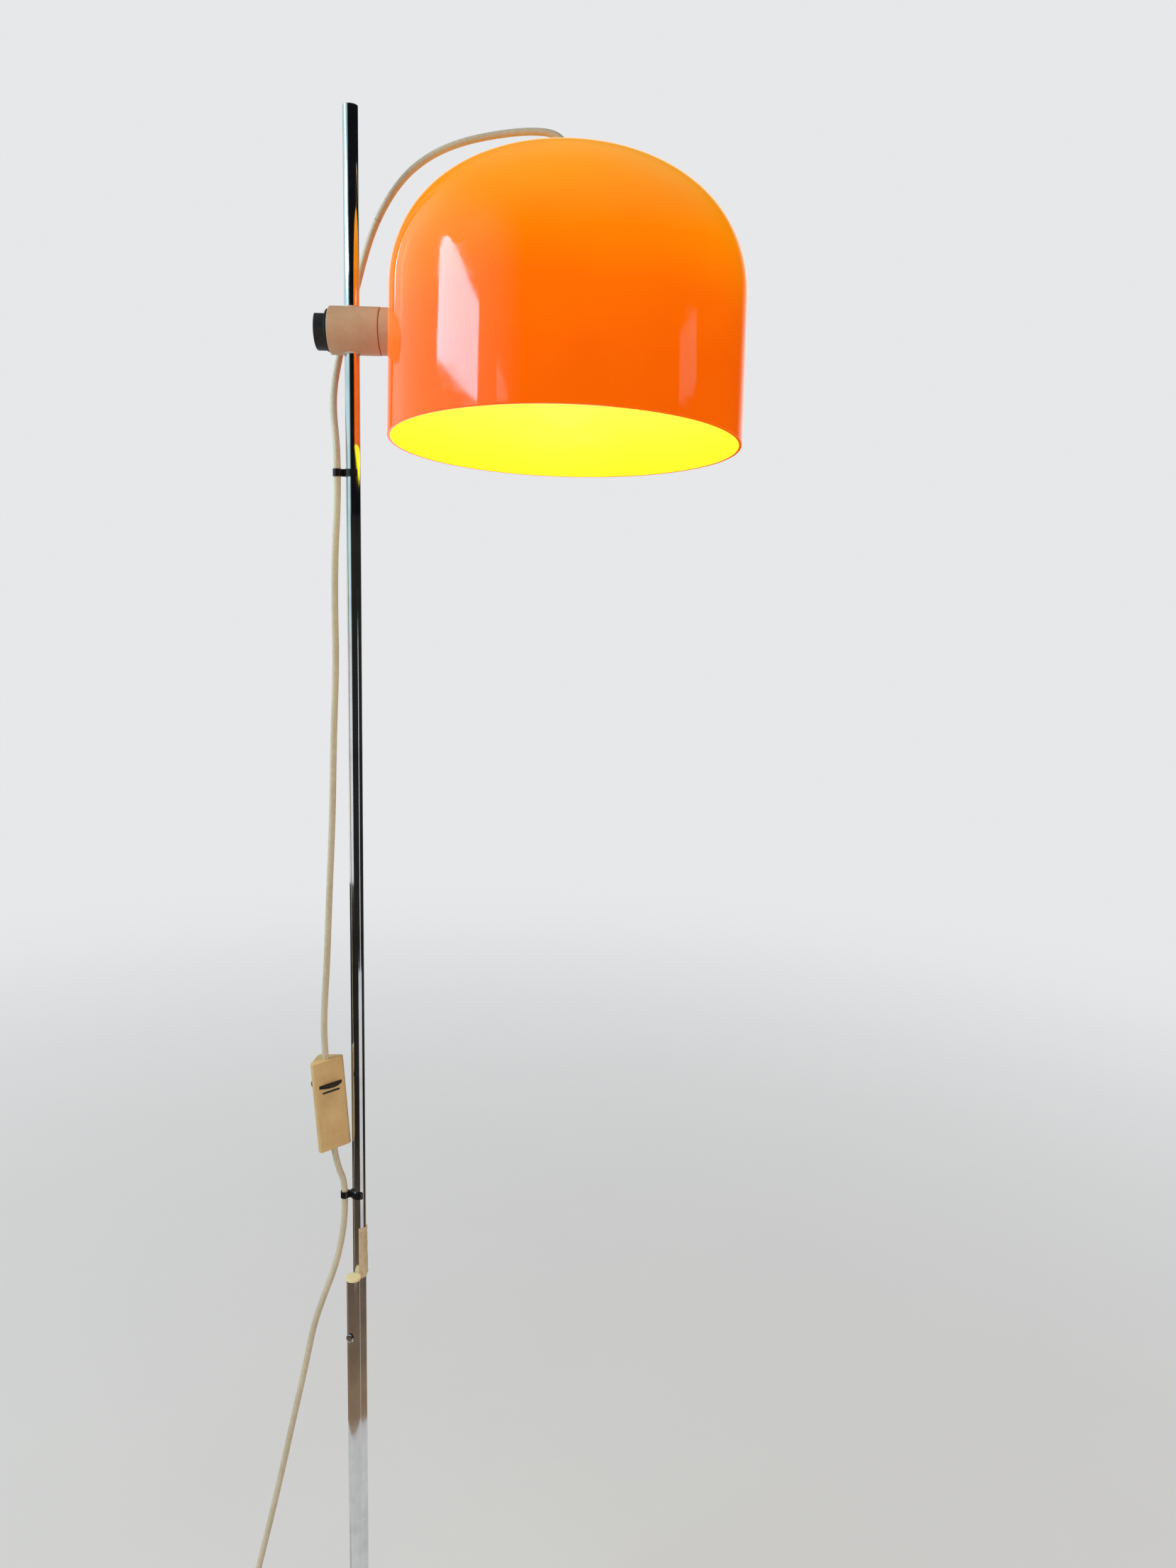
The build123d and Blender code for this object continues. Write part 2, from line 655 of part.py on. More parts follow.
cap_foot = lock_nut_level - holder_cap_height
cap_shoulder = lock_nut_level - holder_cap_neck_height
holder_radius = holder_diameter / 2
holder_neck_radius = holder_cap_neck_diameter / 2
holder_bore_radius = holder_radius - holder_wall
with BuildPart() as holder_cap:
    with BuildSketch(shade_section) as cap_outline:
        with BuildLine():
            Polyline((nipple_radius + press_gap, lock_nut_level), (holder_neck_radius, lock_nut_level),
                     (holder_neck_radius, cap_shoulder), (holder_radius, cap_foot + holder_cap_rim_height),
                     (holder_radius, cap_foot), (holder_bore_radius, cap_foot),
                     (holder_bore_radius, cap_foot + holder_cap_rim_height - holder_wall),
                     (holder_neck_radius, cap_shoulder - holder_wall),
                     (nipple_radius + press_gap, cap_shoulder - holder_wall), close=True)
        make_face()
    revolve(axis=shade_axis)
finish(holder_cap, "holder_cap")

body_foot = cap_foot - holder_body_height
with BuildPart() as holder_body:
    ring(shade_plane.offset(body_foot), holder_radius, holder_bore_radius, holder_body_height)
    fillet(holder_body.faces().sort_by(shade_axis)[0].edges(), holder_edge_radius)
finish(holder_body, "holder_body")

ceramic_foot = cap_foot - ceramic_height
with BuildPart() as ceramic_insert:
    disc(shade_plane.offset(ceramic_foot), holder_bore_radius - press_gap, ceramic_height)
    with BuildSketch(shade_plane.offset(ceramic_foot)):
        Rectangle(contact_length + 2 * contact_slot_gap, contact_width + 2 * contact_slot_gap)
    extrude(amount=contact_thickness, mode=Mode.SUBTRACT)
finish(ceramic_insert, "ceramic_insert")

with BuildPart() as centre_contact:
    with BuildSketch(shade_plane.offset(ceramic_foot)):
        Rectangle(contact_length, contact_width)
    extrude(amount=contact_thickness)
    with BuildSketch(shade_plane.offset(ceramic_foot - contact_bend_height)):
        Circle(contact_width / 2)
    extrude(amount=contact_bend_height)
finish(centre_contact, "centre_contact")

with BuildPart() as threaded_shell:
    ring(shade_plane.offset(ceramic_foot - shell_height), shell_diameter / 2, shell_diameter / 2 - shell_wall,
         shell_height)
finish(threaded_shell, "threaded_shell")

# ---- Bulb, screwed up to the centre contact ----

bulb_contact_top = ceramic_foot - contact_bend_height
bulb_cap_top = bulb_contact_top - bulb_contact_height
bulb_cap_foot = bulb_cap_top - bulb_cap_height
with BuildPart() as bulb_cap:
    disc(shade_plane.offset(bulb_cap_foot), bulb_cap_diameter / 2, bulb_cap_height)
    fillet(bulb_cap.edges().sort_by(shade_axis)[-1], bulb_cap_edge_radius)
    disc(shade_plane.offset(bulb_cap_top), bulb_contact_diameter / 2, bulb_contact_height)
    disc(shade_plane.offset(bulb_cap_foot), bulb_neck_diameter / 2 + press_gap, bulb_neck_seat, Mode.SUBTRACT)
finish(bulb_cap, "bulb_cap")


def bulb_outline(ball_radius, neck_radius, ball_level, top):
    """Half section of the glass: a ball, a shoulder and a straight neck."""
    bottom = ball_level - ball_radius
    shoulder = radians(bulb_shoulder_angle)
    ball_side = ball_radius * cos(shoulder)
    ball_end = (ball_side, ball_level + ball_radius * sin(shoulder))
    Line((0, top), (0, bottom))
    ThreePointArc((0, bottom), (ball_side, ball_level - ball_radius * sin(shoulder)), ball_end)
    pulled = (ball_side - bulb_shoulder_pull * sin(shoulder),
              ball_end[1] + bulb_shoulder_pull * cos(shoulder))
    Bezier(ball_end, pulled, (neck_radius, bulb_cap_foot - bulb_neck_pull), (neck_radius, bulb_cap_foot))
    Polyline((neck_radius, bulb_cap_foot), (neck_radius, top), (0, top))


ball_level = bulb_cap_foot - bulb_length + bulb_diameter / 2
glass_top = bulb_cap_foot + bulb_neck_seat
with BuildPart() as bulb_glass:
    with BuildSketch(shade_section):
        with BuildLine():
            bulb_outline(bulb_diameter / 2, bulb_neck_diameter / 2, ball_level, glass_top)
        make_face()
        with BuildLine():
            bulb_outline(bulb_diameter / 2 - bulb_wall, bulb_neck_diameter / 2 - bulb_wall, ball_level,
                         glass_top)
        make_face(mode=Mode.SUBTRACT)
    revolve(axis=shade_axis)
finish(bulb_glass, "bulb_glass")

print("glass bottom above the rim", round(ball_level - bulb_diameter / 2 - rim_level, 1))

# ---- Dimmer ----

dimmer_lean_angle = radians(dimmer_lean)
dimmer_axis = Vector(sin(dimmer_lean_angle) * cos(radians(clip_bearing)),
                     sin(dimmer_lean_angle) * sin(radians(clip_bearing)), cos(dimmer_lean_angle))
dimmer_plane = Plane(origin=dimmer_foot, x_dir=polar(1, dimmer_face_bearing), z_dir=dimmer_axis)
seam_plane = Plane(origin=dimmer_plane.origin + dimmer_plane.y_dir * (dimmer_face_depth - dimmer_cord_inset),
                   x_dir=dimmer_plane.x_dir, z_dir=dimmer_plane.y_dir)
dimmer_inradius = dimmer_face_width * (sqrt(2) - 1) / 2
wheel_centre = dimmer_plane.origin + dimmer_plane.y_dir * (dimmer_inradius - dimmer_cord_inset)
wheel_plane = Plane(origin=wheel_centre, x_dir=dimmer_plane.x_dir, z_dir=dimmer_axis)
wheel_level = dimmer_length - wheel_below_top - wheel_thickness / 2


def dimmer_outline(level, shrink=0.0):
    """The three-sided section with rounded corners at a level of the dimmer."""
    half = dimmer_face_width / 2
    with BuildSketch(dimmer_plane.offset(level)) as outline:
        with BuildLine():
            Polyline((-half, -dimmer_cord_inset), (half, -dimmer_cord_inset), (0, half - dimmer_cord_inset),
                     close=True)
        make_face()
        fillet(outline.vertices(), dimmer_corner_radius)
        if shrink > 0:
            offset(amount=-shrink)
    return outline.sketch


def dimmer_shell(shell, keep):
    """Front tray or rear housing, inside the piece that is being built."""
    extrude(dimmer_outline(0), amount=dimmer_length)
    ends = shell.faces().filter_by(Plane(dimmer_plane.origin, z_dir=dimmer_axis))
    fillet(ends.edges(), dimmer_end_radius)
    extrude(dimmer_outline(dimmer_wall, dimmer_wall), amount=dimmer_length - 2 * dimmer_wall,
            mode=Mode.SUBTRACT)
    disc(dimmer_plane.offset(-cut_over), cord_radius + running_gap, dimmer_length + 2 * cut_over, Mode.SUBTRACT)
    disc(wheel_plane.offset(wheel_level - wheel_slot_gap), wheel_diameter / 2 + wheel_slot_gap,
         wheel_thickness + 2 * wheel_slot_gap, Mode.SUBTRACT)
    split(bisect_by=seam_plane, keep=keep)


with BuildPart() as dimmer_housing:
    dimmer_shell(dimmer_housing, Keep.TOP)
finish(dimmer_housing, "dimmer_housing")

with BuildPart() as dimmer_face:
    dimmer_shell(dimmer_face, Keep.BOTTOM)
finish(dimmer_face, "dimmer_face")

hub_level = wheel_level - wheel_hub_length
with BuildPart() as dimmer_wheel:
    disc(wheel_plane.offset(wheel_level), wheel_diameter / 2, wheel_thickness)
    fillet(dimmer_wheel.edges().filter_by(GeomType.CIRCLE), wheel_edge_radius)
    disc(wheel_plane.offset(hub_level), wheel_hub_diameter / 2, wheel_hub_length)
finish(dimmer_wheel, "dimmer_wheel")

regulator_level = hub_level - face_gap - regulator_height
with BuildPart() as regulator:
    disc(wheel_plane.offset(regulator_level), regulator_diameter / 2, regulator_height)
finish(regulator, "dimmer_regulator")

with BuildPart() as dimmer_board:
    extrude(dimmer_outline(regulator_level - board_thickness, dimmer_wall + running_gap),
            amount=board_thickness)
finish(dimmer_board, "dimmer_board")

clamp_seat = dimmer_wall - dimmer_cord_inset + running_gap
with BuildPart() as dimmer_cord_clamps:
    for level in (dimmer_wall, dimmer_length - dimmer_wall - cord_clamp_length):
        with BuildSketch(dimmer_plane.offset(level)):
            with Locations((0, clamp_seat + cord_clamp_depth / 2)):
                Rectangle(cord_clamp_width, cord_clamp_depth)
            Circle(cord_radius + press_gap, mode=Mode.SUBTRACT)
        extrude(amount=cord_clamp_length)
finish(dimmer_cord_clamps, "dimmer_cord_clamps")

# ---- Cord ----


def corner_radii(points):
    """The largest arc at each inner point that leaves a tenth of the shorter run straight."""
    radii = []
    for before, corner, after in zip(points, points[1:], points[2:]):
        turn = radians((corner - before).get_angle(after - corner))
        shorter_run = min((corner - before).length, (after - corner).length)
        radii.append(0.45 * shorter_run / tan(turn / 2))
    return radii


def cord_tube(name, route_points):
    """A free stretch of cord: straight runs joined by tangent arcs."""
    points = [Vector(*point) for point in route_points]
    radii = corner_radii(points)
    with BuildPart() as tube:
        with BuildLine() as route:
            FilletPolyline(*points, radius=radii)
        with BuildSketch(Plane(origin=points[0], z_dir=points[1] - points[0])):
            Circle(cord_radius)
        sweep(path=route.wires()[0])
    length = route.wires()[0].length
    share = tube.part.volume / (pi * cord_radius ** 2 * length)
    print(f"{name}: length {length:.0f}, least radius {min(radii):.0f}, volume over section {share:.4f}")
    finish(tube, name)
    return length


def along_dimmer(level):
    """A point on the cord's axis inside or beyond the dimmer."""
    return dimmer_plane.origin + dimmer_axis * level


def on_shade_axis(level):
    """A point on the shade's axis."""
    return shade_pivot + shade_up * level


def by_arm(x, y, rise):
    """A point so far above the arm."""
    return Vector(x, y, arm_height + rise)


# out of the nipple, over the shade and down towards the pole
cord_over_points = [
    on_shade_axis(cord_exit_level - cord_entry_depth), on_shade_axis(cord_exit_level + cord_exit_rise),
    by_arm(179.4, 13.6, 162.4), by_arm(168.3, 14.0, 168.6), by_arm(146.0, 15.0, 169.2),
    by_arm(118.5, 17.0, 166.2), by_arm(92.0, 19.0, 161.0), by_arm(68.0, 21.0, 152.2),
    by_arm(48.0, 23.5, 139.6), by_arm(33.5, 25.5, 124.8), by_arm(22.0, 27.5, 108.1),
]
# behind the clamp and round the pole to the upper clip
cord_behind_points = [
    by_arm(12.8, 29.0, 90.1), by_arm(5.4, 30.0, 69.6), by_arm(-1.5, 30.6, 45.1),
    by_arm(-8.5, 31.0, 20.6), by_arm(-14.5, 30.2, -2.4), by_arm(-18.6, 26.2, -23.9),
    by_arm(-20.4, 17.5, -45.9), by_arm(-18.8, 8.0, -67.4), by_arm(-15.4, 0.6, -87.4),
    by_arm(clip_x, clip_y, -103.4), Vector(clip_x, clip_y, upper_clip_height),
]
# the stretch that follows the shade's tilt ends in the middle of a run, where the drape begins
drape_joint = (cord_over_points[-1] + cord_behind_points[0]) * 0.5
cord_head_points = cord_over_points + [drape_joint]
cord_drape_points = [drape_joint] + cord_behind_points
middle_foot = along_dimmer(dimmer_length + dimmer_entry_run)


def down_pole(x, y, share):
    """A point that lies this share of the way up from above the dimmer to the upper clip."""
    return Vector(x, y, middle_foot.Z + (upper_clip_height - middle_foot.Z) * share)


# from the upper clip down the left side of the pole into the dimmer
cord_middle_points = [
    (clip_x, clip_y, upper_clip_height), down_pole(clip_x, clip_y, 0.948),
    down_pole(-16.3, -3.1, 0.872), down_pole(-17.0, -3.7, 0.782), down_pole(-16.4, -3.2, 0.678),
    down_pole(-19.2, -4.1, 0.556), down_pole(-20.6, -4.9, 0.4225), down_pole(-24.4, -5.6, 0.278),
    down_pole(-27.0, -7.6, 0.145), down_pole(-29.9, -9.6, 0.057), middle_foot,
    along_dimmer(dimmer_length - dimmer_wall - cord_clamp_length),
]
# out of the dimmer, through the lower clip, past the stub rod and down to the floor
cord_feed_points = [
    along_dimmer(dimmer_wall + cord_clamp_length), along_dimmer(-dimmer_exit_run), (-18.3, -6.8, 642.0),
    (clip_x, clip_y, 626.0), (clip_x, clip_y, 596.0), (-16.0, -3.2, 570.0), (-22.4, -4.8, 539.0),
    (-33.6, -7.2, 508.0), (-44.6, -9.0, 474.5), (-51.4, -10.9, 438.0), (-65.8, -13.6, 371.0),
    (-80.4, -17.0, 301.0), (-95.7, -19.7, 234.0), (-110.0, -23.2, 173.0), (-126.3, -26.8, 117.0),
    (-143.5, -30.9, 69.0), (-163.0, -35.0, 33.5), (-187.0, -40.2, 12.0),
]


def coil_point(turns):
    """The middle of the cord after some turns: in on the floor, up a layer, and out again."""
    radius = coil_outer_radius - coil_pitch * coil_turns_in + coil_pitch * abs(turns - coil_turns_in)
    climb = min(max((turns - coil_turns_in) * 2 + 0.5, 0.0), 1.0)
    height = cord_floor_height + coil_pitch * climb * climb * (3 - 2 * climb)
    bearing = radians(coil_start_bearing - 360 * turns)
    return Vector(coil_centre[0] + radius * cos(bearing), coil_centre[1] + radius * sin(bearing), height)


def coil_tangent(turns):
    """Direction of the cord after some turns."""
    return (coil_point(turns + 0.001) - coil_point(turns - 0.001)).normalized()


def arc_middle(start, apex, end):
    """Middle of the arc that touches start-apex and apex-end at its ends."""
    chord_middle = (start + end) * 0.5
    height = (apex - chord_middle).length
    side = (apex - start).length
    half_chord = (start - chord_middle).length
    radius = side * half_chord / height
    return apex + (chord_middle - apex) * ((side ** 2 / height - radius) / height)


def biarc(start, start_tangent, end, end_tangent):
    """Two arcs that join two points with given tangents, as (start, middle, end) each."""
    span = end - start
    tangents = start_tangent + end_tangent
    spread = 2 * (1 - start_tangent.dot(end_tangent))
    along = span.dot(tangents)
    reach = (sqrt(along ** 2 + spread * span.dot(span)) - along) / spread
    first_apex = start + start_tangent * reach
    second_apex = end - end_tangent * reach
    joint = (first_apex + second_apex) * 0.5
    return [(start, arc_middle(start, first_apex, joint), joint),
            (joint, arc_middle(joint, second_apex, end), end)]


quarter_turns = round(4 * (coil_turns_in + coil_turns_out))
coil_stations = [quarter / 4 for quarter in range(quarter_turns + 1)]
coil_start_tangent = coil_tangent(0.002)
coil_start_tangent = Vector(coil_start_tangent.X, coil_start_tangent.Y, 0).normalized()
coil_end_tangent = coil_tangent(coil_stations[-1])
coil_entry = coil_point(0) - coil_start_tangent * cord_diameter
coil_exit = coil_point(coil_stations[-1]) + coil_end_tangent * cord_diameter
with BuildPart() as cord_coil:
    with BuildLine() as coil_route:
        Line(coil_entry, coil_point(0))
        for here, there in zip(coil_stations, coil_stations[1:]):
            here_tangent = coil_start_tangent if here == 0 else coil_tangent(here)
            for arc in biarc(coil_point(here), here_tangent, coil_point(there), coil_tangent(there)):
                ThreePointArc(*arc)
        Line(coil_point(coil_stations[-1]), coil_exit)
    with BuildSketch(Plane(origin=coil_entry, z_dir=coil_start_tangent)):
        Circle(cord_radius)
    sweep(path=coil_route.wires()[0])
coil_length = coil_route.wires()[0].length
coil_share = cord_coil.part.volume / (pi * cord_radius ** 2 * coil_length)
samples = [coil_route.wires()[0] @ (step / coil_gap_samples) for step in range(coil_gap_samples + 1)]
skip = round(coil_gap_samples * 2.5 * pi * cord_diameter / coil_length)
coil_gap = min((here - there).length for at, here in enumerate(samples) for there in samples[at + skip:])
print(f"cord_coil: length {coil_length:.0f}, volume over section {coil_share:.4f}, "
      f"least gap to itself {coil_gap - cord_diameter:.2f}")
finish(cord_coil, "cord_coil")

plug_direction = polar(1, plug_bearing)
plug_plane = Plane(origin=plug_entry, x_dir=polar(1, plug_bearing + 90), z_dir=plug_direction)
cord_tail_points = [
    coil_exit, coil_exit + coil_end_tangent * coil_tail_lead, plug_plane.origin - plug_direction * plug_lead,
    plug_plane.origin,
]

cord_feed_points += [coil_entry - coil_start_tangent * coil_lead, coil_entry]
cord_lengths = [cord_tube("cord_head", cord_head_points), cord_tube("cord_drape", cord_drape_points),
                cord_tube("cord_middle", cord_middle_points), cord_tube("cord_feed", cord_feed_points),
                coil_length, cord_tube("cord_tail", cord_tail_points)]
print("cord from shade to plug", round(sum(cord_lengths)))

# ---- Plug, lying flat beside the coil ----

with BuildPart() as plug_relief:
    with BuildSketch(plug_plane):
        Circle(relief_end_diameter / 2)
    with BuildSketch(plug_plane.offset(relief_length)):
        Circle(relief_root_diameter / 2)
    loft()
finish(plug_relief, "plug_relief")

with BuildPart() as plug_body:
    with BuildSketch(plug_plane.offset(relief_length)):
        RectangleRounded(plug_nose_width, plug_nose_thickness, plug_edge_radius)
    with BuildSketch(plug_plane.offset(relief_length + plug_taper_length)):
        RectangleRounded(plug_width, plug_thickness, plug_edge_radius)
    loft(ruled=True)
    with BuildSketch(plug_plane.offset(relief_length + plug_taper_length)):
        RectangleRounded(plug_width, plug_thickness, plug_edge_radius)
    extrude(amount=plug_length - plug_taper_length)
finish(plug_body, "plug_body")

with BuildPart() as plug_pins:
    with BuildSketch(plug_plane.offset(relief_length + plug_length)):
        with GridLocations(plug_pin_spacing, 0, 2, 1):
            Circle(plug_pin_diameter / 2)
    extrude(amount=plug_pin_length)
    fillet(plug_pins.faces().sort_by(Axis(plug_plane.origin, plug_direction))[-2:].edges(),
           plug_pin_tip_radius)
finish(plug_pins, "plug_pins")
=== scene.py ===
"""Floor lamp with a domed orange shade on a slim chrome pole: looks, light and camera.

Lengths are in metres, except the cord's, the label's, the slot's and the shade's, which MM turns into metres.
"""

import json
from math import cos, pi, radians, sin

import bmesh
import bpy
from mathutils import Matrix, Vector


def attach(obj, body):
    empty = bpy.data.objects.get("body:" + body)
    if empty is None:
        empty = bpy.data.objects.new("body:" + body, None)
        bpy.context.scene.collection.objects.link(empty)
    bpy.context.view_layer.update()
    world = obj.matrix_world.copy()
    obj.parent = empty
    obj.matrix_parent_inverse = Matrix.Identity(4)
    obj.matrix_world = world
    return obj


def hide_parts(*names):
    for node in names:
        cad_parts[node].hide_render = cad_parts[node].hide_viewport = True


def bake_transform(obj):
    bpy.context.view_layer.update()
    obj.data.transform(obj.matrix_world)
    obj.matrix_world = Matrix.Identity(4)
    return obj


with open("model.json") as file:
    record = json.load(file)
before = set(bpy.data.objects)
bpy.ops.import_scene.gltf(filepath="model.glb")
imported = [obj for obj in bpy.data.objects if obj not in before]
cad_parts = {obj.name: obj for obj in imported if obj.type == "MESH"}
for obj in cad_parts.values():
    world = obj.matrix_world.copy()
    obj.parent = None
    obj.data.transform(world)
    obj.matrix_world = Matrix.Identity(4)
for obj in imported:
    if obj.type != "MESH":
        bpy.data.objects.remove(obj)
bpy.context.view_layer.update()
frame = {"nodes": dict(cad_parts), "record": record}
nodes = frame["nodes"]
MM = 0.001

# ---- Camera ----

PHOTO_HEIGHT = 2212
FOCAL_LENGTH = 1622.9       # pixels of the photograph
SENSOR = 36.0
camera_data = bpy.data.cameras.new("camera")
camera_data.sensor_fit = "VERTICAL"
camera_data.sensor_height = SENSOR
camera_data.lens = FOCAL_LENGTH / PHOTO_HEIGHT * SENSOR
camera_data.clip_start = 0.05
camera_data.clip_end = 100.0
camera = bpy.data.objects.new("camera", camera_data)
bpy.context.scene.collection.objects.link(camera)
camera.matrix_world = (
    Matrix.Translation((0.2189, -1.0477, 1.2017))
    @ Matrix.Rotation(radians(0.232), 4, "Z")
    @ Matrix.Rotation(radians(90 - 9.499), 4, "X")
    @ Matrix.Rotation(radians(1.462), 4, "Z")
)
bpy.context.scene.camera = camera

# ---- Cord: one line from the shade's top to the plug, in stretches ----

CORD_DIAMETER = 6.0
CORD_RADIUS = CORD_DIAMETER / 2
CORD_SIDES = 20
CURVE_STEPS = 12            # of the spline from one control point to the next
ARM_HEIGHT = 1419.4
SHADE_PIVOT = Vector((187.0, 0.0, ARM_HEIGHT))
SHADE_UP = Vector((0.0, 0.0784591, 0.9969173))
DIMMER_FOOT = Vector((-22.0, -9.7, 666.3))
DIMMER_AXIS = Vector((-0.0733942, -0.0153329, 0.9971851))
CLIP_X, CLIP_Y = -13.508, -2.822
UPPER_CLIP_HEIGHT = 1299.5


def on_shade_axis(level):
    """A point on the shade's axis."""
    return SHADE_PIVOT + SHADE_UP * level


def along_dimmer(level):
    """A point on the cord's line inside or beyond the dimmer."""
    return DIMMER_FOOT + DIMMER_AXIS * level


def by_arm(x, y, rise):
    """A point so far above the arm."""
    return Vector((x, y, ARM_HEIGHT + rise))


middle_foot = along_dimmer(108.0)


def down_pole(x, y, share):
    """A point this share of the way up from above the dimmer to the upper clip."""
    return Vector((x, y, middle_foot.z + (UPPER_CLIP_HEIGHT - middle_foot.z) * share))


over_points = [
    on_shade_axis(136.0), on_shade_axis(150.3), by_arm(179.4, 13.6, 162.4), by_arm(168.3, 14.0, 168.6),
    by_arm(146.0, 15.0, 169.2), by_arm(118.5, 17.0, 166.2), by_arm(92.0, 19.0, 161.0),
    by_arm(68.0, 21.0, 152.2), by_arm(48.0, 23.5, 139.6), by_arm(33.5, 25.5, 124.8),
    by_arm(22.0, 27.5, 108.1),
]
behind_points = [
    by_arm(12.8, 29.0, 90.1), by_arm(5.4, 30.0, 69.6), by_arm(-1.5, 30.6, 45.1), by_arm(-8.5, 31.0, 20.6),
    by_arm(-14.5, 30.2, -2.4), by_arm(-18.6, 26.2, -23.9), by_arm(-20.4, 17.5, -45.9),
    by_arm(-18.8, 8.0, -67.4), by_arm(-15.4, 0.6, -87.4), by_arm(CLIP_X, CLIP_Y, -103.4),
    Vector((CLIP_X, CLIP_Y, UPPER_CLIP_HEIGHT)),
]
drape_joint = (over_points[-1] + behind_points[0]) * 0.5
head_points = over_points + [drape_joint]
drape_points = [drape_joint] + behind_points
middle_points = [
    Vector((CLIP_X, CLIP_Y, UPPER_CLIP_HEIGHT)), down_pole(CLIP_X, CLIP_Y, 0.948),
    down_pole(-16.3, -3.1, 0.872), down_pole(-17.0, -3.7, 0.782), down_pole(-16.4, -3.2, 0.678),
    down_pole(-19.2, -4.1, 0.556), down_pole(-20.6, -4.9, 0.4225), down_pole(-24.4, -5.6, 0.278),
    down_pole(-27.0, -7.6, 0.145), down_pole(-29.9, -9.6, 0.057), middle_foot, along_dimmer(79.0),
]
feed_points = [
    along_dimmer(11.0), along_dimmer(-6.0), (-18.3, -6.8, 642.0), (CLIP_X, CLIP_Y, 626.0),
    (CLIP_X, CLIP_Y, 596.0), (-16.0, -3.2, 570.0), (-22.4, -4.8, 539.0), (-33.6, -7.2, 508.0),
    (-44.6, -9.0, 474.5), (-51.4, -10.9, 438.0), (-65.8, -13.6, 371.0), (-80.4, -17.0, 301.0),
    (-95.7, -19.7, 234.0), (-110.0, -23.2, 173.0), (-126.3, -26.8, 117.0), (-143.5, -30.9, 69.0),
    (-163.0, -35.0, 33.5), (-187.0, -40.2, 12.0),
]

COIL_CENTRE = (-258.0, -12.0)
COIL_OUTER_RADIUS = 42.5
COIL_PITCH = 6.8
COIL_TURNS_IN = 3.0
COIL_TURNS = 5.5
COIL_START_BEARING = -78.2
COIL_FLOOR_HEIGHT = CORD_RADIUS + 0.05
POINTS_PER_TURN = 16
RUN_INTO_COIL = 30.0
RUN_OUT_OF_COIL = 20.0
RUN_INTO_PLUG = 19.5
PLUG_BEARING = radians(38.0)
TURN_STEP = 0.001           # for the coil's direction


def coil_point(turns):
    """The middle of the cord after some turns: in on the floor, up a layer, and out again."""
    radius = COIL_OUTER_RADIUS - COIL_PITCH * COIL_TURNS_IN + COIL_PITCH * abs(turns - COIL_TURNS_IN)
    climb = min(max((turns - COIL_TURNS_IN) * 2 + 0.5, 0.0), 1.0)
    height = COIL_FLOOR_HEIGHT + COIL_PITCH * climb * climb * (3 - 2 * climb)
    bearing = radians(COIL_START_BEARING - 360 * turns)
    return Vector((COIL_CENTRE[0] + radius * cos(bearing), COIL_CENTRE[1] + radius * sin(bearing), height))


def coil_tangent(turns):
    """Direction of the cord after some turns."""
    return (coil_point(turns + TURN_STEP) - coil_point(turns - TURN_STEP)).normalized()


coil_entry = coil_point(0.0) - coil_tangent(0.0) * CORD_DIAMETER
coil_exit = coil_point(COIL_TURNS) + coil_tangent(COIL_TURNS) * CORD_DIAMETER
plug_direction = Vector((cos(PLUG_BEARING), sin(PLUG_BEARING), 0.0))
plug_entry = Vector((-205.5, 52.7, 6.8))
coil_points = [coil_point(i / POINTS_PER_TURN) for i in range(int(COIL_TURNS * POINTS_PER_TURN) + 1)]
tail_points = [
    coil_exit, coil_exit + coil_tangent(COIL_TURNS) * RUN_OUT_OF_COIL,
    plug_entry - plug_direction * RUN_INTO_PLUG, plug_entry,
]
lead_points = [
    *feed_points, coil_entry - coil_tangent(0.0) * RUN_INTO_COIL, coil_entry, *coil_points, *tail_points,
]


def centre_line(points):
    """Points, in metres, along one smooth spline with these control points, in millimetres."""
    data = bpy.data.curves.new("guide", "CURVE")
    data.dimensions = "3D"
    data.resolution_u = CURVE_STEPS
    spline = data.splines.new("NURBS")
    spline.points.add(len(points) - 1)
    for target, point in zip(spline.points, points):
        target.co = (*(Vector(point) * MM), 1.0)
    spline.order_u = 3
    spline.use_endpoint_u = True
    guide = bpy.data.objects.new("guide", data)
    bpy.context.scene.collection.objects.link(guide)
    bpy.context.view_layer.update()
    line = bpy.data.meshes.new_from_object(guide)
    path = [vertex.co.copy() for vertex in line.vertices]
    bpy.data.objects.remove(guide)
    bpy.data.meshes.remove(line)
    bpy.data.curves.remove(data)
    return path


def finished_piece(name, built):
    """A new object in the scene with the mesh that was built, which is given up."""
    mesh = bpy.data.meshes.new(name)
    built.to_mesh(mesh)
    built.free()
    piece = bpy.data.objects.new(name, mesh)
    bpy.context.scene.collection.objects.link(piece)
    return piece


def tube_along(name, path, radius):
    """A closed round tube whose sections follow a path without twisting."""
    built = bmesh.new()
    tangents = [
        (path[min(i + 1, len(path) - 1)] - path[max(i - 1, 0)]).normalized() for i in range(len(path))
    ]
    side = tangents[0].orthogonal().normalized()
    sections = []
    for point, tangent in zip(path, tangents):
        side = (side - tangent * side.dot(tangent)).normalized()
        other = tangent.cross(side)
        turns = [2 * pi * i / CORD_SIDES for i in range(CORD_SIDES)]
        sections.append([
            built.verts.new(point + (side * cos(turn) + other * sin(turn)) * radius) for turn in turns
        ])
    for low, high in zip(sections, sections[1:]):
        for i in range(CORD_SIDES):
            after = (i + 1) % CORD_SIDES
            built.faces.new((low[i], low[after], high[after], high[i])).smooth = True
    built.faces.new(reversed(sections[0]))
    built.faces.new(sections[-1])
    return finished_piece(name, built)


def cord_tube(name, points, *cad_nodes):
    """A stretch of cord as a mesh, with the line that it follows."""
    path = centre_line(points)
    piece = tube_along(name, path, CORD_RADIUS * MM)
    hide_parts(*cad_nodes)
    return piece, path


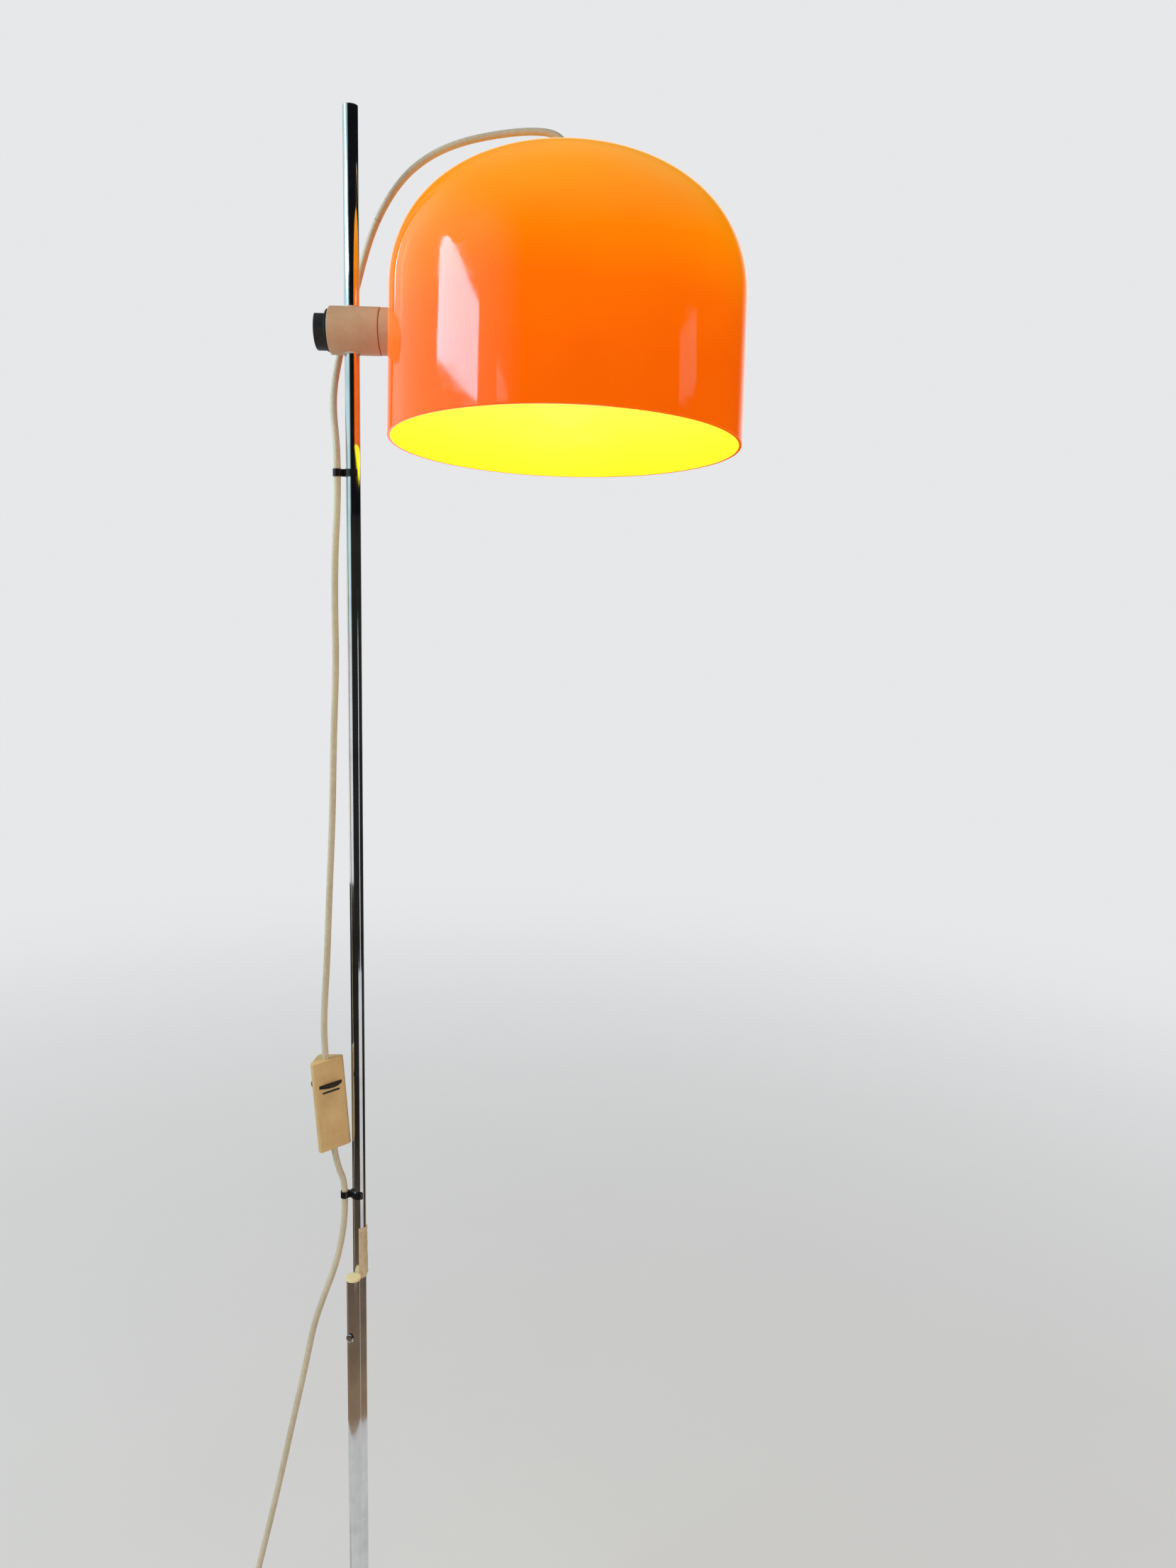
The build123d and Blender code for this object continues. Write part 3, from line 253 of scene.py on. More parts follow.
head_cord, head_path = cord_tube("shade_cord", head_points, "cord_head")
drape_cord, drape_path = cord_tube("drape_cord", drape_points, "cord_drape")
middle_cord, middle_path = cord_tube("pole_cord", middle_points, "cord_middle")
lead_cord, lead_path = cord_tube("mains_lead", lead_points, "cord_feed", "cord_coil", "cord_tail")
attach(lead_cord, "stand")

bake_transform(head_cord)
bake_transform(drape_cord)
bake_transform(middle_cord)

# ---- Finishes ----

MIX_FACTOR, MIX_FIRST, MIX_SECOND, MIX_RESULT = 0, 6, 7, 2  # sockets of a Mix node for colours


class Nodes:
    """The nodes of a material or of the world. An input is a number, a tuple or another node's output."""

    def __init__(self, tree):
        self.tree = tree

    def add(self, kind, inputs=None, **settings):
        """A node with these settings and inputs."""
        node = self.tree.nodes.new(kind)
        for setting, value in settings.items():
            setattr(node, setting, value)
        for socket, value in (inputs or {}).items():
            self.feed(node.inputs[socket], value)
        return node

    def feed(self, socket, value):
        """Gives a socket its value, or a link to it."""
        if isinstance(value, bpy.types.NodeSocket):
            self.tree.links.new(value, socket)
        else:
            socket.default_value = value

    def math(self, operation, first, second):
        """The result of one sum."""
        return self.add("ShaderNodeMath", {0: first, 1: second}, operation=operation).outputs[0]

    def weighted(self, first, first_weight, second, second_weight):
        """Two values added up by weight."""
        return self.math(
            "ADD", self.math("MULTIPLY", first, first_weight), self.math("MULTIPLY", second, second_weight)
        )

    def vector(self, operation, first, second=(0.0, 0.0, 0.0)):
        """A vector sum: its vector, or its number where it gives one."""
        node = self.add("ShaderNodeVectorMath", {0: first, 1: second}, operation=operation)
        return node.outputs["Value" if operation in ("DOT_PRODUCT", "LENGTH") else "Vector"]

    def span(self, value, low, high, to_low=0.0, to_high=1.0):
        """A value moved smoothly from one range to another."""
        inputs = {"Value": value, "From Min": low, "From Max": high, "To Min": to_low, "To Max": to_high}
        return self.add("ShaderNodeMapRange", inputs, interpolation_type="SMOOTHSTEP").outputs["Result"]

    def ramp(self, value, *stops):
        """Colours along a value."""
        node = self.add("ShaderNodeValToRGB", {"Fac": value})
        elements = node.color_ramp.elements
        while len(elements) < len(stops):
            elements.new(0.5)
        for element, (position, colour) in zip(elements, stops):
            element.position = position
            element.color = (*colour, 1.0)
        return node.outputs["Color"]

    def mix(self, factor, first, second):
        """One colour over another."""
        node = self.add("ShaderNodeMix", data_type="RGBA")
        for index, value in ((MIX_FACTOR, factor), (MIX_FIRST, first), (MIX_SECOND, second)):
            self.feed(node.inputs[index], (*value, 1.0) if isinstance(value, tuple) else value)
        return node.outputs[MIX_RESULT]

    def seen_directly(self):
        """1 for the rays that the camera, a mirror or a glass sends, and 0 for the rest."""
        ray = self.add("ShaderNodeLightPath").outputs
        most = self.math("MAXIMUM", ray["Is Camera Ray"], ray["Is Glossy Ray"])
        return self.math("MAXIMUM", most, ray["Is Transmission Ray"])


class Finish(Nodes):
    """A surface: fixed values on the shader's own sockets, and colour, roughness and relief from nodes."""

    def __init__(self, name, roughness, **sockets):
        self.material = bpy.data.materials.new(name)
        self.material.use_nodes = True
        super().__init__(self.material.node_tree)
        self.shader = self.tree.nodes["Principled BSDF"]
        self.shader.inputs["Roughness"].default_value = roughness
        for socket, value in sockets.items():
            self.shader.inputs[socket.replace("_", " ")].default_value = value
        self.place = self.add("ShaderNodeTexCoord").outputs["Object"]

    def noise(self, size, detail=3.0, stretch=(1.0, 1.0, 1.0), roughness=0.5):
        """Noise with features about this size in millimetres, drawn out by the stretch."""
        scale = tuple(1.0 / (size * MM * s) for s in stretch)
        place = self.vector("MULTIPLY", self.place, scale)
        inputs = {"Vector": place, "Scale": 1.0, "Detail": detail, "Roughness": roughness}
        return self.add("ShaderNodeTexNoise", inputs).outputs["Fac"]

    def specks(self, size, share):
        """1 in small scattered spots, and 0 elsewhere."""
        place = self.vector("MULTIPLY", self.place, (1.0 / (size * MM),) * 3)
        cells = self.add("ShaderNodeTexVoronoi", {"Vector": place, "Scale": 1.0})
        return self.span(cells.outputs["Distance"], share, share * 0.5)

    def to(self, socket, output):
        """Links an output to one of the shader's sockets."""
        self.tree.links.new(output, self.shader.inputs[socket])
        return self

    def tint(self, value, *stops):
        """Base colour along a value."""
        return self.to("Base Color", self.ramp(value, *stops))

    def wear(self, value, low, high):
        """Roughness between two levels as a value goes from 0.3 to 0.7."""
        return self.to("Roughness", self.span(value, 0.3, 0.7, low, high))

    def relief(self, *layers):
        """Bumps: pairs of a height from 0 to 1 and its depth in millimetres."""
        normal = None
        for height, depth in layers:
            inputs = {"Height": height, "Distance": depth * MM, "Strength": 1.0}
            if normal is not None:
                inputs["Normal"] = normal
            normal = self.add("ShaderNodeBump", inputs).outputs["Normal"]
        return self.to("Normal", normal)

    def shown_as(self, shader):
        """The material, with another shader's result in place of the surface's own."""
        self.tree.links.new(shader.outputs[0], self.tree.nodes["Material Output"].inputs["Surface"])
        return self.material


def polished(name, streaks):
    """Chrome plate with faint wiping marks along the streaks' direction."""
    finish = Finish(name, 0.06, Metallic=1.0)
    smudges = finish.noise(34.0, detail=5.0, roughness=0.6)
    fine = finish.noise(0.5, stretch=streaks)
    finish.tint(smudges, (0.35, (0.66, 0.68, 0.70)), (0.6, (0.78, 0.80, 0.82)))
    finish.wear(finish.weighted(smudges, 0.6, fine, 0.4), 0.035, 0.13)
    return finish.relief((fine, 0.0006), (finish.noise(60.0, detail=1.0), 0.012)).material


def plastic(name, light, dark, rough, grain_size, grain_depth, blotch=26.0):
    """Moulded plastic: uneven ageing, a fine grain, and roughness that varies with handling."""
    finish = Finish(name, sum(rough) / 2)
    ageing = finish.noise(blotch, detail=4.0, roughness=0.55)
    dust = finish.noise(2.2, detail=4.0)
    tone = finish.weighted(ageing, 0.75, dust, 0.25)
    finish.tint(tone, (0.36, dark), (0.62, light))
    finish.wear(tone, *rough)
    grain = finish.noise(grain_size, detail=2.0)
    waves = finish.noise(grain_size * 7, detail=1.0)
    return finish.relief((grain, grain_depth), (waves, grain_depth * 0.8)).material


METAL_GRAIN = 0.7


def metal(name, light, dark, rough):
    """A plain metal piece, turned or rolled."""
    finish = Finish(name, sum(rough) / 2, Metallic=1.0)
    stain = finish.noise(3.5, detail=4.0)
    finish.tint(stain, (0.35, dark), (0.65, light))
    finish.wear(finish.noise(METAL_GRAIN), *rough)
    return finish.relief((finish.noise(METAL_GRAIN * 0.6, detail=2.0), 0.006)).material


SHADE_RIM_LEVEL = -93.0     # from the arm's axis
SHADE_HEIGHT = 234.0


def shade_finish():
    """Glossy translucent acrylic with a painted glow for its bulb's light: amber at the crown, deep orange on
    the drum.
    """
    finish = Finish("orange_acrylic", 0.1, IOR=1.49, Specular_IOR_Level=0.4, Emission_Strength=1.0)
    offset = finish.vector("SUBTRACT", finish.place, tuple(SHADE_PIVOT * MM))
    level = finish.vector("DOT_PRODUCT", offset, tuple(SHADE_UP))
    facing = finish.add("ShaderNodeTexCoord").outputs["Normal"]
    outside = finish.span(finish.vector("DOT_PRODUCT", offset, facing), -0.004, 0.004)
    above_rim = finish.math("SUBTRACT", level, SHADE_RIM_LEVEL * MM)
    height = finish.math("DIVIDE", above_rim, SHADE_HEIGHT * MM)
    clouds = finish.noise(95.0, detail=2.0)
    uneven = finish.math("MULTIPLY", finish.math("SUBTRACT", clouds, 0.5), 0.08)
    height = finish.math("ADD", height, uneven)
    # painted glow: emission that grows brighter and more amber towards the crown, where the bulb hangs
    glow = finish.ramp(
        height, (0.0, (0.56, 0.078, 0.0)), (0.2, (0.60, 0.083, 0.0)), (0.4, (0.65, 0.108, 0.0)),
        (0.6, (0.68, 0.19, 0.0)), (0.79, (0.68, 0.28, 0.0)), (0.91, (0.67, 0.32, 0.001)),
    )
    # painted glow inside the shade: pale yellow, for the overlit inner wall
    inner_glow = finish.ramp(
        height, (0.0, (0.66, 0.71, 0.004)), (0.1, (0.67, 0.73, 0.022)), (0.36, (0.70, 0.76, 0.11)),
    )
    finish.to("Emission Color", finish.mix(outside, inner_glow, glow))
    skin = finish.ramp(clouds, (0.35, (0.60, 0.075, 0.001)), (0.65, (0.68, 0.10, 0.002)))
    # inside, a dull yellowish base colour lies under the painted inner glow in place of the orange acrylic's
    # own
    finish.to("Base Color", finish.mix(outside, (0.40, 0.30, 0.03), skin))
    marks = finish.noise(11.0, detail=6.0, roughness=0.65)
    dust = finish.specks(7.0, 0.035)
    handled = finish.span(marks, 0.4, 0.75, 0.045, 0.12)
    finish.to("Roughness", finish.math("ADD", handled, finish.math("MULTIPLY", dust, 0.4)))
    return finish.relief((finish.noise(48.0, detail=1.0), 0.09), (dust, 0.02)).material


def opal_finish():
    """Opal glass, lit."""
    finish = Finish("opal_glass", 0.22, IOR=1.5, Emission_Strength=1.0)
    cloud = finish.noise(18.0)
    finish.tint(cloud, (0.3, (0.90, 0.86, 0.76)), (0.7, (0.95, 0.92, 0.84)))
    finish.to("Emission Color", finish.ramp(cloud, (0.3, (1.0, 0.86, 0.55)), (0.7, (1.0, 0.92, 0.68))))
    return finish.wear(finish.noise(9.0), 0.16, 0.28).material


def cord_finish():
    """Smooth sheath with some greying where it is handled and dusty."""
    finish = Finish("cream_cord", 0.38, IOR=1.5)
    grey = finish.noise(70.0, detail=4.0, roughness=0.6)
    spots = finish.noise(3.0, detail=5.0)
    tone = finish.weighted(grey, 0.6, spots, 0.4)
    finish.tint(tone, (0.34, (0.60, 0.54, 0.40)), (0.62, (0.74, 0.69, 0.54)))
    finish.wear(tone, 0.3, 0.46)
    grain = finish.noise(1.4, detail=2.0)
    waves = finish.noise(16.0, detail=1.0)
    return finish.relief((grain, 0.004), (waves, 0.05)).material


def paper_finish():
    """Aged paper: browned in patches, with fibres."""
    finish = Finish("paper", 0.85, Specular_IOR_Level=0.2)
    patches = finish.noise(9.0, detail=5.0, roughness=0.6)
    fibres = finish.noise(0.35, detail=4.0, stretch=(1.0, 1.0, 5.0))
    tone = finish.weighted(patches, 0.7, fibres, 0.3)
    finish.tint(tone, (0.32, (0.50, 0.40, 0.25)), (0.5, (0.68, 0.58, 0.40)), (0.66, (0.76, 0.69, 0.52)))
    finish.wear(fibres, 0.75, 0.95)
    return finish.relief((fibres, 0.03), (finish.noise(2.5, detail=2.0), 0.05)).material


CREAM = (0.78, 0.72, 0.55)
AGED_CREAM = (0.70, 0.60, 0.42)
finishes = {
    "chrome": polished("chrome", (1.0, 1.0, 60.0)),
    "cast_iron": plastic(
        "cast_iron", light=(0.06, 0.06, 0.065), dark=(0.03, 0.03, 0.03),
        rough=(0.55, 0.8), grain_size=1.2, grain_depth=0.12,
    ),
    "black_rubber": plastic(
        "black_rubber", light=(0.035, 0.034, 0.033), dark=(0.018, 0.018, 0.018),
        rough=(0.6, 0.85), grain_size=0.9, grain_depth=0.06,
    ),
    "zinc_steel": metal("zinc_steel", light=(0.62, 0.63, 0.62), dark=(0.46, 0.46, 0.44), rough=(0.25, 0.45)),
    "brass": metal("brass", light=(0.80, 0.58, 0.26), dark=(0.58, 0.40, 0.16), rough=(0.18, 0.38)),
    "nickel": metal("nickel", light=(0.72, 0.70, 0.66), dark=(0.58, 0.56, 0.52), rough=(0.12, 0.28)),
    "cream_plastic": plastic(
        "cream_plastic", light=CREAM, dark=AGED_CREAM,
        rough=(0.34, 0.5), grain_size=0.9, grain_depth=0.014, blotch=30.0,
    ),
    "cream_cord": cord_finish(),
    "black_knob": plastic(
        "black_knob", light=(0.022, 0.021, 0.021), dark=(0.009, 0.009, 0.009),
        rough=(0.42, 0.62), grain_size=0.6, grain_depth=0.03,
    ),
    "black_clip": plastic(
        "black_clip", light=(0.012, 0.012, 0.013), dark=(0.006, 0.006, 0.006),
        rough=(0.1, 0.24), grain_size=1.5, grain_depth=0.012,
    ),
    "nylon": plastic(
        "nylon", light=(0.80, 0.78, 0.70), dark=(0.70, 0.67, 0.57),
        rough=(0.4, 0.55), grain_size=1.0, grain_depth=0.02,
    ),
    "orange_acrylic": shade_finish(),
    "holder_plastic": plastic(
        "holder_plastic", light=(0.78, 0.75, 0.66), dark=(0.66, 0.61, 0.48),
        rough=(0.22, 0.36), grain_size=1.4, grain_depth=0.015,
    ),
    "ceramic": plastic(
        "ceramic", light=(0.82, 0.80, 0.74), dark=(0.70, 0.67, 0.60),
        rough=(0.5, 0.7), grain_size=0.8, grain_depth=0.03,
    ),
    "opal_glass": opal_finish(),
    "paper": paper_finish(),
    "board_green": plastic(
        "board_green", light=(0.05, 0.16, 0.07), dark=(0.03, 0.10, 0.04),
        rough=(0.3, 0.5), grain_size=1.0, grain_depth=0.03, blotch=8.0,
    ),
    "brown_phenolic": plastic(
        "brown_phenolic", light=(0.10, 0.05, 0.025), dark=(0.05, 0.025, 0.014),
        rough=(0.3, 0.5), grain_size=1.0, grain_depth=0.03, blotch=6.0,
    ),
}
# the dimmer's tan is partly aged cream and partly painted warm light from the lit shade above it
dimmer_plastic_painted_lamplight = plastic(
    "dimmer_plastic_painted_lamplight", light=(0.80, 0.61, 0.32), dark=(0.70, 0.49, 0.23),
    rough=(0.5, 0.68), grain_size=0.75, grain_depth=0.11,
)
# the clamp's orange-tan is painted warm light from the shade, laid on cream plastic
clamp_plastic_painted_lamplight = plastic(
    "clamp_plastic_painted_lamplight", light=(0.70, 0.51, 0.32), dark=(0.62, 0.41, 0.24),
    rough=(0.34, 0.5), grain_size=0.9, grain_depth=0.014, blotch=30.0,
)
# the stub cap's bright warm cream is partly its own cream and partly painted light from the bulb above
stub_cap_plastic_painted_lamplight = plastic(
    "stub_cap_plastic_painted_lamplight", light=(0.97, 0.86, 0.55), dark=(0.95, 0.80, 0.47),
    rough=(0.34, 0.5), grain_size=0.9, grain_depth=0.014, blotch=30.0,
)
base_chrome = polished("base_chrome", (1.0, 1.0, 1.0))


def dress(piece, material):
    """Gives the whole piece one finish."""
    piece.data.materials.clear()
    piece.data.materials.append(material)


for part in frame["record"]["subparts"]:
    dress(nodes[part["node"]], finishes[part["material_slot"]])
for name in ("dimmer_housing", "dimmer_face"):
    dress(nodes[name], dimmer_plastic_painted_lamplight)
for name in ("clamp_body", "swivel_collar"):
    dress(nodes[name], clamp_plastic_painted_lamplight)
dress(nodes["stub_cap"], stub_cap_plastic_painted_lamplight)
dress(nodes["base_cover"], base_chrome)
for piece in (head_cord, drape_cord, middle_cord, lead_cord):
    dress(piece, finishes["cream_cord"])

# ---- Paper label: round the pole, with a loose edge that curls away ----

LABEL_BOTTOM = 525.0
LABEL_TOP = 578.5
LABEL_RADIUS = 6.6
LABEL_THICKNESS = 0.14
LABEL_START = radians(-85.0)
LABEL_WRAP = radians(88.0)
LABEL_FLAP = 2.9
LABEL_CORNER = 4.0
LABEL_COLUMNS = 44
LABEL_ROWS = 60
LABEL_RIPPLE = 0.04
LABEL_CURL_TOP = 0.16       # of the flap at the label's top
LABEL_CURL_MORE = 0.30      # added to it at the bottom
LABEL_CURL_WAVE = 0.03
LABEL_EDGE_WAVE = 0.08


def label_point(run, height):
    """Where a point of the flat sheet lies: its run from the stuck edge and its height."""
    wrapped = LABEL_WRAP * LABEL_RADIUS
    share = (height - LABEL_BOTTOM) / (LABEL_TOP - LABEL_BOTTOM)
    if run <= wrapped:
        bearing = LABEL_START + run / LABEL_RADIUS
        radius = LABEL_RADIUS + LABEL_RIPPLE * sin(5.0 * bearing + 0.19 * height)
        return Vector((radius * cos(bearing), radius * sin(bearing), height))
    bearing = LABEL_START + LABEL_WRAP
    loose = run - wrapped
    sharpness = LABEL_CURL_TOP + LABEL_CURL_MORE * (1 - share) ** 2 + LABEL_CURL_WAVE * sin(height * 0.35)
    curl = sharpness * loose ** 2 / LABEL_FLAP
    outward = Vector((cos(bearing), sin(bearing), 0.0))
    onward = Vector((-sin(bearing), cos(bearing), 0.0))
    return outward * (LABEL_RADIUS + curl) + onward * (loose - 0.2 * curl) + Vector((0.0, 0.0, height))


label_built = bmesh.new()
label_grid = []
for row in range(LABEL_ROWS + 1):
    height = LABEL_BOTTOM + (LABEL_TOP - LABEL_BOTTOM) * row / LABEL_ROWS
    near_corner = max(0.0, LABEL_CORNER - (height - LABEL_BOTTOM))
    cut = LABEL_CORNER - max(LABEL_CORNER ** 2 - near_corner ** 2, 0.0) ** 0.5
    full_run = LABEL_WRAP * LABEL_RADIUS + LABEL_FLAP - cut + LABEL_EDGE_WAVE * sin(height * 0.8)
    label_grid.append([
        label_built.verts.new(label_point(full_run * column / LABEL_COLUMNS, height) * MM)
        for column in range(LABEL_COLUMNS + 1)
    ])
for low, high in zip(label_grid, label_grid[1:]):
    for i in range(LABEL_COLUMNS):
        label_built.faces.new((low[i], low[i + 1], high[i + 1], high[i])).smooth = True
label = finished_piece("label_sheet", label_built)
thickness = label.modifiers.new("thickness", "SOLIDIFY")
thickness.thickness = LABEL_THICKNESS * MM
thickness.offset = 1.0
dress(label, finishes["paper"])
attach(label, "stand")
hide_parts("paper_label")

# ---- Vent slot in the dimmer's face, below the thumb wheel ----

SLOT_LEVEL = 58.9
SLOT_REACH = 8.0            # from its middle to the centre of each round end
SLOT_RADIUS = 1.0
SLOT_PROUD = 0.04
SLOT_DEPTH = 0.3
SLOT_ARC_STEPS = 12
DIMMER_FACE = -5.5          # of the wide face, from the dimmer's axis
DIMMER_BEARING = radians(39.0)

dimmer_across = Vector((cos(DIMMER_BEARING), sin(DIMMER_BEARING), 0.0))
dimmer_across = (dimmer_across - DIMMER_AXIS * dimmer_across.dot(DIMMER_AXIS)).normalized()
dimmer_inward = DIMMER_AXIS.cross(dimmer_across)


def slot_outline(depth):
    """The slot's outline this deep in the face, from the end on the right."""
    middle = along_dimmer(SLOT_LEVEL) + dimmer_inward * (DIMMER_FACE + depth)
    corners = []
    for side in (1, -1):
        for step in range(SLOT_ARC_STEPS + 1):
            turn = pi * step / SLOT_ARC_STEPS - pi / 2
            corners.append(
                middle + dimmer_across * side * (SLOT_REACH + SLOT_RADIUS * cos(turn))
                + DIMMER_AXIS * side * SLOT_RADIUS * sin(turn)
            )
    return [corner * MM for corner in corners]


slot_built = bmesh.new()
slot_front = [slot_built.verts.new(corner) for corner in slot_outline(-SLOT_PROUD)]
slot_back = [slot_built.verts.new(corner) for corner in slot_outline(SLOT_DEPTH)]
slot_built.faces.new(slot_front)
slot_built.faces.new(reversed(slot_back))
for i in range(len(slot_front)):
    slot_built.faces.new((slot_front[i], slot_front[i - 1], slot_back[i - 1], slot_back[i]))
bmesh.ops.recalc_face_normals(slot_built, faces=slot_built.faces)
vent = finished_piece("dimmer_vent", slot_built)
dress(vent, finishes["black_knob"])
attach(vent, "stand")

# ---- Floor, light and background ----

BACKGROUND = (0.80, 0.805, 0.815)
FLOOR_RADIUS = 30.0
FLOOR_SEEN_RADIUS = 3.6     # beyond this the floor has the background's colour
FLOOR_CORNERS = 96
FLOOR_GAP = 0.0002

floor_built = bmesh.new()
bmesh.ops.create_circle(floor_built, cap_ends=True, segments=FLOOR_CORNERS, radius=FLOOR_RADIUS)
floor = finished_piece("floor", floor_built)
floor.location.z = -FLOOR_GAP
floor_finish = Finish("floor", 0.6, Specular_IOR_Level=0.25)
floor_marks = floor_finish.noise(240.0)
floor_finish.tint(floor_marks, (0.3, (0.80, 0.80, 0.80)), (0.7, (0.83, 0.83, 0.825)))
flat_place = floor_finish.vector("MULTIPLY", floor_finish.place, (1.0, 1.0, 0.0))
far = floor_finish.span(floor_finish.vector("LENGTH", flat_place), 0.3, FLOOR_SEEN_RADIUS, 0.4, 1.0)
far = floor_finish.math("MULTIPLY", far, floor_finish.seen_directly())
far_light = floor_finish.add("ShaderNodeEmission", {"Color": (*BACKGROUND, 1.0), "Strength": 1.0}).outputs[0]
both = floor_finish.add("ShaderNodeMixShader", {0: far, 1: floor_finish.shader.outputs[0], 2: far_light})
dress(floor, floor_finish.shown_as(both))


def only_in_mirrors(card):
    """A card of the studio that only reflections show."""
    card.visible_camera = False
    card.visible_diffuse = False
    card.visible_transmission = False
    card.visible_shadow = False


# dark cards round the lower pole give the chrome its dark core, and leave a gap for one bright line
CARD_RADIUS = 0.46
CARD_REACH = 150            # to each side of the front, in degrees
CARD_STEP = 5               # degrees
CARD_FOOT = 0.01
CARD_RISE = 0.04
CARD_ROWS = 32
CLOSED_BELOW = 0.24         # a card stands all round up to this height
WIDE_GAP = (30, 85)         # bearings of the gap above that
WIDE_GAP_BELOW = 0.68
NARROW_GAP = (60, 70)       # bearings of the gap above that
LEFT_BEARING = -35          # to the left of this the cards end lower
LEFT_BELOW = 0.80


def card_is_there(bearing, height):
    """Whether a card stands at this bearing from the front, in degrees, and this height."""
    if height < CLOSED_BELOW:
        return True
    if height < WIDE_GAP_BELOW:
        return bearing < WIDE_GAP[0] or bearing > WIDE_GAP[1]
    if bearing < LEFT_BEARING:
        return height < LEFT_BELOW
    return bearing < NARROW_GAP[0] or bearing > NARROW_GAP[1]


card_built = bmesh.new()
card_corners = {}


def card_corner(bearing, row):
    """The corner of a card at this bearing and row, made once."""
    if (bearing, row) not in card_corners:
        turn = radians(bearing)
        height = CARD_FOOT + row * CARD_RISE
        corner = (CARD_RADIUS * sin(turn), -CARD_RADIUS * cos(turn), height)
        card_corners[bearing, row] = card_built.verts.new(corner)
    return card_corners[bearing, row]


for bearing in range(-CARD_REACH, CARD_REACH, CARD_STEP):
    for row in range(CARD_ROWS):
        if card_is_there(bearing + CARD_STEP / 2, (row + 0.5) * CARD_RISE):
            card_built.faces.new((
                card_corner(bearing, row), card_corner(bearing + CARD_STEP, row),
                card_corner(bearing + CARD_STEP, row + 1), card_corner(bearing, row + 1),
            ))
dark_card = finished_piece("dark_card", card_built)
card_finish = Finish("card_cloth", 0.95)
card_level = card_finish.add("ShaderNodeSeparateXYZ", {0: card_finish.place}).outputs["Z"]
# brownish near the floor: a painted reflection of a warm floor for the lower chrome, near black higher up
card_colour = card_finish.ramp(
    card_level, (0.0, (0.30, 0.20, 0.125)), (0.16, (0.18, 0.125, 0.085)), (0.45, (0.02, 0.019, 0.018)),
)
card_light = card_finish.add("ShaderNodeEmission", {"Color": card_colour, "Strength": 1.0})
dress(dark_card, card_finish.shown_as(card_light))
only_in_mirrors(dark_card)


def pane(name, corners, radiance, colour):
    """A bright shape that only reflections show, as a fan of triangles round its middle."""
    built = bmesh.new()
    rim = [built.verts.new(corner) for corner in corners]
    middle = built.verts.new(sum((Vector(corner) for corner in corners), Vector()) / len(corners))
    for i in range(len(rim)):
        built.faces.new((middle, rim[i - 1], rim[i]))
    card = finished_piece(name, built)
    finish = Finish(name, 1.0)
    light = finish.add("ShaderNodeEmission", {"Color": (*colour, 1.0), "Strength": radiance})
    dress(card, finish.shown_as(light))
    only_in_mirrors(card)


pane("window", [
    (-2.176, -0.296, 2.495), (-2.142, -0.421, 2.534), (-2.147, -0.736, 2.359), (-2.072, -0.962, 2.341),
    (-1.96, -1.216, 2.307), (-1.803, -1.483, 2.267), (-1.829, -1.502, 2.142), (-1.85, -1.521, 2.022),
    (-2.06, -1.174, 2.026), (-2.195, -0.847, 2.03), (-2.319, -0.246, 2.029), (-2.291, -0.263, 2.154),
], radiance=13.5, colour=(0.36, 0.86, 1.15))
pane("low_pane", [
    (-1.458, -1.906, 2.153), (-1.316, -2.032, 2.121), (-1.19, -2.133, 2.083), (-1.231, -2.108, 2.073),
    (-1.454, -1.94, 2.056),
], radiance=3.0, colour=(1.0, 1.0, 1.0))
pane("side_window", [
    (2.673, -0.139, 2.172), (2.712, -0.07, 1.988), (2.712, -0.229, 1.955), (2.638, -0.67, 1.968),
    (2.589, -0.7, 2.153),
], radiance=1.2, colour=(0.3, 0.9, 0.9))
pane("slit", [
    (-1.777, 1.3, 2.447), (-1.833, 1.213, 2.452), (-1.896, 1.357, 2.016), (-1.827, 1.454, 2.009),
], radiance=1.6, colour=(0.6, 0.8, 0.8))
pane("lower_slit", [
    (-1.73, 1.6, 1.896), (-1.789, 1.529, 1.901), (-1.786, 1.559, 1.765), (-1.725, 1.63, 1.76),
], radiance=1.0, colour=(0.6, 0.8, 0.8))


def soft_light(name, place, target, width, height, radiance, colour):
    """A rectangular light that faces a point, and that mirrors don't show."""
    data = bpy.data.lights.new(name, "AREA")
    data.shape = "RECTANGLE"
    data.size = width
    data.size_y = height
    data.energy = radiance * pi * width * height
    data.color = colour
    light = bpy.data.objects.new(name, data)
    bpy.context.scene.collection.objects.link(light)
    light.location = place
    light.rotation_euler = (Vector(target) - Vector(place)).to_track_quat("-Z", "Y").to_euler()
    light.visible_camera = False
    light.visible_glossy = False
    return light


